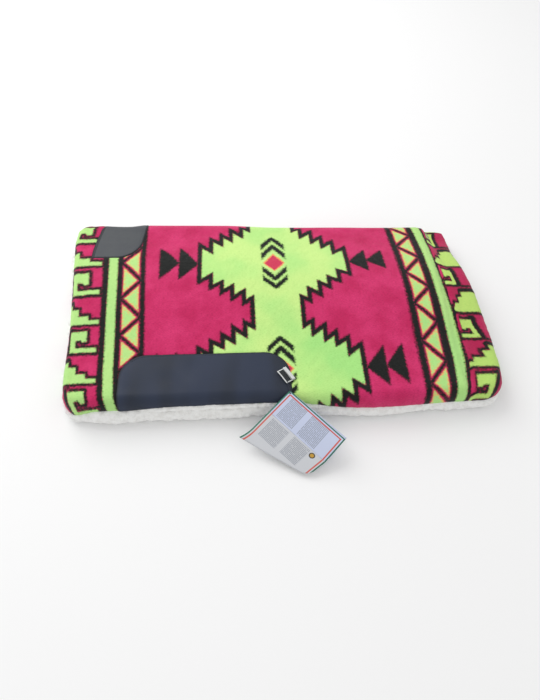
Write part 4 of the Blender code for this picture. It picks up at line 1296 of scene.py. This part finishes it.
# %% Making the label, the tie and the tag
def drill(piece, centre, axis, radius):
    """Cuts a round hole through a thin piece."""
    sides = 16
    turn = np.linspace(0.0, 2.0 * np.pi, sides + 1)[:-1]
    side = unit(np.cross(axis, UP + np.array([0.3, 0.2, 0.0])))
    other = np.cross(axis, side)
    ring = centre + radius * (np.cos(turn)[:, None] * side + np.sin(turn)[:, None] * other)
    points = np.concatenate([ring - axis * 0.004, ring + axis * 0.004])
    mesh = bpy.data.meshes.new("bit")
    walls = [(k, (k + 1) % sides, sides + (k + 1) % sides, sides + k) for k in range(sides)]
    caps = [tuple(range(sides - 1, -1, -1)), tuple(range(sides, 2 * sides))]
    mesh.from_pydata(points.tolist(), [], walls + caps)
    bit = show("bit", mesh)
    cut = piece.modifiers.new("hole", "BOOLEAN")
    cut.operation, cut.solver, cut.object = "DIFFERENCE", "EXACT", bit
    graph = bpy.context.evaluated_depsgraph_get()
    drilled = bpy.data.meshes.new_from_object(piece.evaluated_get(graph))
    piece.modifiers.clear()
    piece.data = drilled
    bpy.data.objects.remove(bit)


def paper_sheet(name, corner, along, down, size, start=0.0, printed=1.0):
    """A sheet of the tag. It bows a little, one corner curls out and another is worn round.

    The bow is a half wave over each half of the tag, so the crease stays straight, and the paper is
    pressed thin there. The curl goes up with the distance past a line, squared, near the corner.
    """
    n, m = 58, 28
    below = start > 0.0
    a = np.linspace(0.0, size[0], n)[:, None] + np.zeros((1, m))
    across = a / size[0]
    t = np.linspace(0.0, 1.0, m)[None, :] ** (1.5 if below else 0.667)
    past = np.maximum(a - size[0] + TAG_WORN, 0.0)
    lost = TAG_WORN - np.sqrt(np.maximum(TAG_WORN**2 - past**2, 0.0))
    slant = 0.014 * (1.0 - across) ** 2 - 0.014 * across**2 - 0.75 * lost
    end = start + size[1] + slant * below
    begin = start + 0.0002 * below
    b = begin + (end - begin) * t
    curl = np.maximum(b - 0.087 - 0.5 * a, 0.0) / 0.027
    lift = 0.0055 * curl**2 + 0.0055 * across**3 * clamp(1.0 - b / 0.05)
    lift = lift + 0.0014 * np.sin(np.pi * across) * np.sin(2.0 * np.pi * b / TAG_HEIGHT) ** 2
    half = 0.5 * PAPER_THICK * (0.08 + 0.92 * ease(np.abs(b - 0.5 * TAG_HEIGHT) / 0.003))
    wide = a * (1.0 + 0.065 * across) - 0.060 * b * (1.0 - across) ** 2 - 0.0050 * curl**2
    wide = wide - 0.19 * across**2 * np.maximum(b - 0.05, 0.0)
    normal = np.cross(down, along)
    middle = corner + wide[..., None] * along + b[..., None] * down + lift[..., None] * normal
    top, under = middle + normal * half[..., None], middle - normal * half[..., None]
    face = np.full(a.shape, printed)
    return closed_sheet(name, top, under, PAPER, flat_points(a, b), True, face=face)


def woven_label(name):
    """The label: a flat run, a half-round fold at its low side and a short flap over it."""
    low_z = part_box("woven_label")[0][2] + 0.5 * LABEL_THICK
    tilt = math.asin(clamp((LABEL_HOLE[2] - low_z) / (LABEL_WIDTH - LABEL_INSET)))
    across = LABEL_LEVEL * math.cos(tilt) + UP * math.sin(tilt)
    normal = np.cross(across, LABEL_ALONG)
    corner = LABEL_HOLE + (LABEL_ALONG + across) * LABEL_INSET
    low = corner - LABEL_ALONG * LABEL_LENGTH - across * LABEL_WIDTH
    turn = np.linspace(0.0, np.pi, 13)
    runs = np.linspace(0.0, LABEL_WIDTH, 22)[1:]
    flap = np.linspace(LABEL_FLAP, 0.0, 8)[:-1]
    up = [2.0 * LABEL_BEND + 0.09 * flap, LABEL_BEND * (1.0 + np.cos(turn)), 0.0 * runs]
    up, out = np.concatenate(up), np.concatenate([flap, -LABEL_BEND * np.sin(turn), runs])
    run = np.concatenate([[0.0], np.cumsum(np.hypot(np.diff(up), np.diff(out)))])
    along = np.linspace(0.0, LABEL_LENGTH, 20)[:, None]
    ripple = 0.0004 * np.sin(along / 0.0052) * clamp(run / 0.012)[None, :]
    spot = low + along[..., None] * LABEL_ALONG + out[None, :, None] * across
    spot = spot + (up[None, :] + ripple)[..., None] * normal
    side = normals_of(spot)
    top, under = spot + side * 0.5 * LABEL_THICK, spot - side * 0.5 * LABEL_THICK
    piece = closed_sheet(name, top, under, LABEL)
    drill(piece, LABEL_HOLE, normal, HOLE)
    place = np.empty(3 * len(piece.data.vertices), np.float32)
    piece.data.vertices.foreach_get("co", place)
    place = place.reshape(-1, 3) - low
    out, height = place @ across, place @ normal
    run = np.where(height > LABEL_BEND, LABEL_FLAP - out, LABEL_FLAP + np.pi * LABEL_BEND + out)
    cloth = flat_points(place @ LABEL_ALONG, run).astype(np.float32)
    measure = piece.data.attributes.new("cloth", "FLOAT_VECTOR", "POINT")
    measure.data.foreach_set("vector", cloth.ravel())
    return piece


def twisted_cord(name):
    """The tie: a loop of two plies twisted round each other, swept along a flat oval."""
    count, sides = 240, 8
    turn = np.linspace(0.0, np.pi, 40)
    half = 0.5 * TIE_LENGTH - TIE_BEND
    run = np.linspace(-half, half, 40)[1:-1]
    bend = TIE_BEND * np.sin(turn)
    flat = np.concatenate([half + bend, -run, -half - bend, run])
    tall = np.concatenate([np.cos(turn), -1.0 + 0.0 * run, -np.cos(turn), 1.0 + 0.0 * run])
    centre = TIE_MIDDLE + flat[:, None] * TIE_WAY + (TIE_BEND * tall)[:, None] * UP
    length = np.cumsum(np.linalg.norm(centre - np.roll(centre, 1, 0), axis=1))
    total = length[-1]
    fine = np.linspace(0.0, total, count + 1)[:-1]
    loop = np.stack([np.interp(fine, length, column, period=total) for column in centre.T], -1)
    ahead = unit(np.roll(loop, -1, 0) - np.roll(loop, 1, 0))
    side = np.cross(TIE_WAY, UP)[None, :] + 0.0 * ahead
    up = np.cross(side, ahead)
    ring = np.linspace(0.0, 2.0 * np.pi, sides + 1)[:-1][None, :, None]
    spokes = 0.26 * CORD * (np.cos(ring) * side[:, None] + np.sin(ring) * up[:, None])
    points, faces = [], []
    for ply in range(2):
        phase = (2.0 * np.pi * round(total / TWIST) * fine / total + np.pi * ply)[:, None]
        axis = loop + 0.24 * CORD * (np.cos(phase) * side + np.sin(phase) * up)
        i, k = np.meshgrid(np.arange(count), np.arange(sides), indexing="ij")
        a, b = (i + count * ply) * sides, ((i + 1) % count + count * ply) * sides
        quads = np.stack([a + k, b + k, b + (k + 1) % sides, a + (k + 1) % sides], -1)
        faces.append(quads.reshape(-1, 4))
        points.append((axis[:, None] + spokes).reshape(-1, 3))
    points = np.concatenate(points)
    return build(name, points, np.concatenate(faces), CORD_LOOK, cloth=points)


label = woven_label("folded_woven_label")
tie = twisted_cord("twisted_tie_cord")
half_tag = 0.5 * TAG_HEIGHT
tag_frame = (TAG_CORNER, TAG_ALONG, TAG_DOWN)
panel = (TAG_WIDTH, half_tag)
upper_panel = paper_sheet("printed_tag_upper_panel", *tag_frame, panel)
drill(upper_panel, TAG_HOLE, TAG_NORMAL, HOLE)
lower_panel = paper_sheet("printed_tag_lower_panel", *tag_frame, panel, half_tag)
back_along = TAG_ALONG * math.cos(SHEET_TURN) - TAG_DOWN * math.sin(SHEET_TURN)
back_down = TAG_DOWN * math.cos(SHEET_TURN) + TAG_ALONG * math.sin(SHEET_TURN)
back_hole = TAG_HOLE - TAG_NORMAL * SHEET_GAP
back_frame = (back_hole - (back_along + back_down) * TAG_INSET, back_along, back_down)
back_size = (TAG_WIDTH, half_tag - SHEET_MARGIN)
back_sheet = paper_sheet("tag_back_leaf", *back_frame, back_size, printed=0.0)
drill(back_sheet, back_hole, TAG_NORMAL, HOLE)


# %% [markdown]
# ## Riding on the CAD model
# The wear leathers, their seams, the label, the tie and the tag ride on the bodies of the CAD
# model. The spans of the cover, core, lining and withers leather stand in for their CAD parts,
# which are hidden, and keep their places.

# %% Bodies
CENTRE = np.array([0.0, FOLD_Y, HALF_STACK])
BEND_RUN = 0.0268
SEAM_MARGIN = 0.0085
SPINE_TURN, LINING_TURN = 0.0022, 0.0005


def bend(pieces, nodes, bodies, start, end):
    """The pieces stand for the nodes, which are hidden; the pieces keep their places and do not
    bend.
    """
    for piece in pieces:
        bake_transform(piece)
    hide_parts(*nodes)


def ride(pieces, body, node):
    """Pieces that stand for a node and move with one body."""
    for piece in pieces:
        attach(piece, body)
    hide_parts(node)


def along(way, *distances):
    """Places at distances from the middle of the fold along a direction."""
    return [(CENTRE + distance * np.array(way)).tolist() for distance in distances]


layers = {
    "cover": ([near_cover], [mid_cover], [off_cover]),
    "core": ([near_core], [mid_core], [off_core]),
    "lining": ([near_lining], [mid_lining], [off_lining]),
    "withers_leather": (near_withers, mid_withers, off_withers),
}
for layer, (near, middle, off) in layers.items():
    towards_seam = along((0.0, 0.5, -0.866), -BEND_RUN, -SEAM_MARGIN)
    bend(near, ["near_" + layer], ("near_flap", "spine_upper"), *towards_seam)
    from_seam = along((0.0, -0.5, -0.866), SEAM_MARGIN, BEND_RUN)
    bend(off, ["off_" + layer], ("spine_lower", "off_flap"), *from_seam)
    half = LINING_TURN if layer == "lining" else SPINE_TURN
    high, low = (0.0, FOLD_Y, HALF_STACK + half), (0.0, FOLD_Y, HALF_STACK - half)
    nodes = ["spine_upper_" + layer, "spine_lower_" + layer]
    bend(middle, nodes, ("spine_upper", "spine_lower"), high, low)
ride([near_wear, near_seam], "near_flap", "near_wear_leather")
ride([off_wear, off_seam], "off_flap", "off_wear_leather")
ride([label], "near_flap", "woven_label")
ride([tie], "hang_tag", "tag_tie")
ride([upper_panel], "hang_tag", "tag_upper_panel")
ride([back_sheet], "hang_tag", "tag_back_sheet")
ride([lower_panel], "tag_lower", "tag_lower_panel")


# %% A list of the leathers, and the cut size and area of the withers leather
leathers = [near_wear, off_wear, near_seam, off_seam] + near_withers + mid_withers + off_withers

withers_cut = (WITHERS_REAR - WITHERS_FRONT, NEAR_FLAT - WITHERS_START + HALF_STACK * SEAM)
withers_area = withers_cut[0] * withers_cut[1] - (1.0 - 0.25 * math.pi) * WITHERS_ROUND**2


# %% [markdown]
# ## Light, ground and camera
# A pale floor under a bright, even sky gives the soft shadow that lies under the pad. One large
# lamp behind and above it lights the fold a little more than the hem.

# %% Stage
def make_floor():
    """A wide white floor that goes on to the horizon."""
    mesh = bpy.data.meshes.new("floor")
    size, low = 12.0, -0.0005
    corners = [(-size, -size, low), (size, -size, low), (size, size, low), (-size, size, low)]
    mesh.from_pydata(corners, [], [(0, 1, 2, 3)])
    mesh.materials.append(Look("floor").finish((0.93, 0.93, 0.93, 1.0), 0.9, specular=0.1))
    show("floor", mesh)


def make_sky(strength):
    """An even white sky: plain white to the camera, and a soft light to everything else."""
    world = bpy.data.worlds.new("sky")
    world.use_nodes = True
    nodes, links = world.node_tree.nodes, world.node_tree.links
    rays = nodes.new("ShaderNodeLightPath")
    seen = rays.outputs["Is Camera Ray"]
    for kind in ("Is Glossy Ray", "Is Transmission Ray"):
        either = nodes.new("ShaderNodeMath")
        either.operation = "MAXIMUM"
        links.new(seen, either.inputs[0])
        links.new(rays.outputs[kind], either.inputs[1])
        seen = either.outputs[0]
    share = nodes.new("ShaderNodeMix")
    share.data_type = "FLOAT"
    share.inputs[2].default_value = strength
    share.inputs[3].default_value = 1.0
    links.new(seen, share.inputs[0])
    nodes["Background"].inputs["Color"].default_value = (1.0, 1.0, 1.0, 1.0)
    links.new(share.outputs[0], nodes["Background"].inputs["Strength"])
    bpy.context.scene.world = world


def make_lamp(name, place, target, size, power):
    """A large soft lamp at a place, turned to a target."""
    data = bpy.data.lights.new(name, "AREA")
    data.size, data.energy = size, power
    lamp = show(name, data)
    lamp.location = place
    way = Vector(target) - Vector(place)
    lamp.rotation_euler = way.to_track_quat("-Z", "Y").to_euler()


def make_camera():
    """The camera of the photograph: from in front and above, turned and rolled a little."""
    place = (-0.083, -0.637, 0.858)
    yaw, pitch, roll = math.radians(7.0), math.radians(56.87), math.radians(4.30)
    level_ahead = Vector((math.sin(yaw), math.cos(yaw), 0.0))
    ahead = level_ahead * math.cos(pitch) - Vector((0.0, 0.0, math.sin(pitch)))
    right = Vector((math.cos(yaw), -math.sin(yaw), 0.0))
    up = right.cross(ahead)
    turned_right = right * math.cos(roll) + up * math.sin(roll)
    turned_up = up * math.cos(roll) - right * math.sin(roll)
    data = bpy.data.cameras.new("camera")
    data.lens = 540.0 / 700.0 * 36.0
    camera = show("camera", data)
    rows = [(r, u, -a, p) for r, u, a, p in zip(turned_right, turned_up, ahead, place)]
    camera.matrix_world = Matrix(rows + [(0.0, 0.0, 0.0, 1.0)])
    bpy.context.scene.camera = camera


make_floor()
make_sky(strength=0.76)
make_lamp("window", (-1.2, 1.3, 1.7), (0.0, 0.1, 0.0), size=1.8, power=31.0)
make_camera()
bpy.context.scene.view_settings.view_transform = "Standard"


# %% [markdown]
# ## The finish
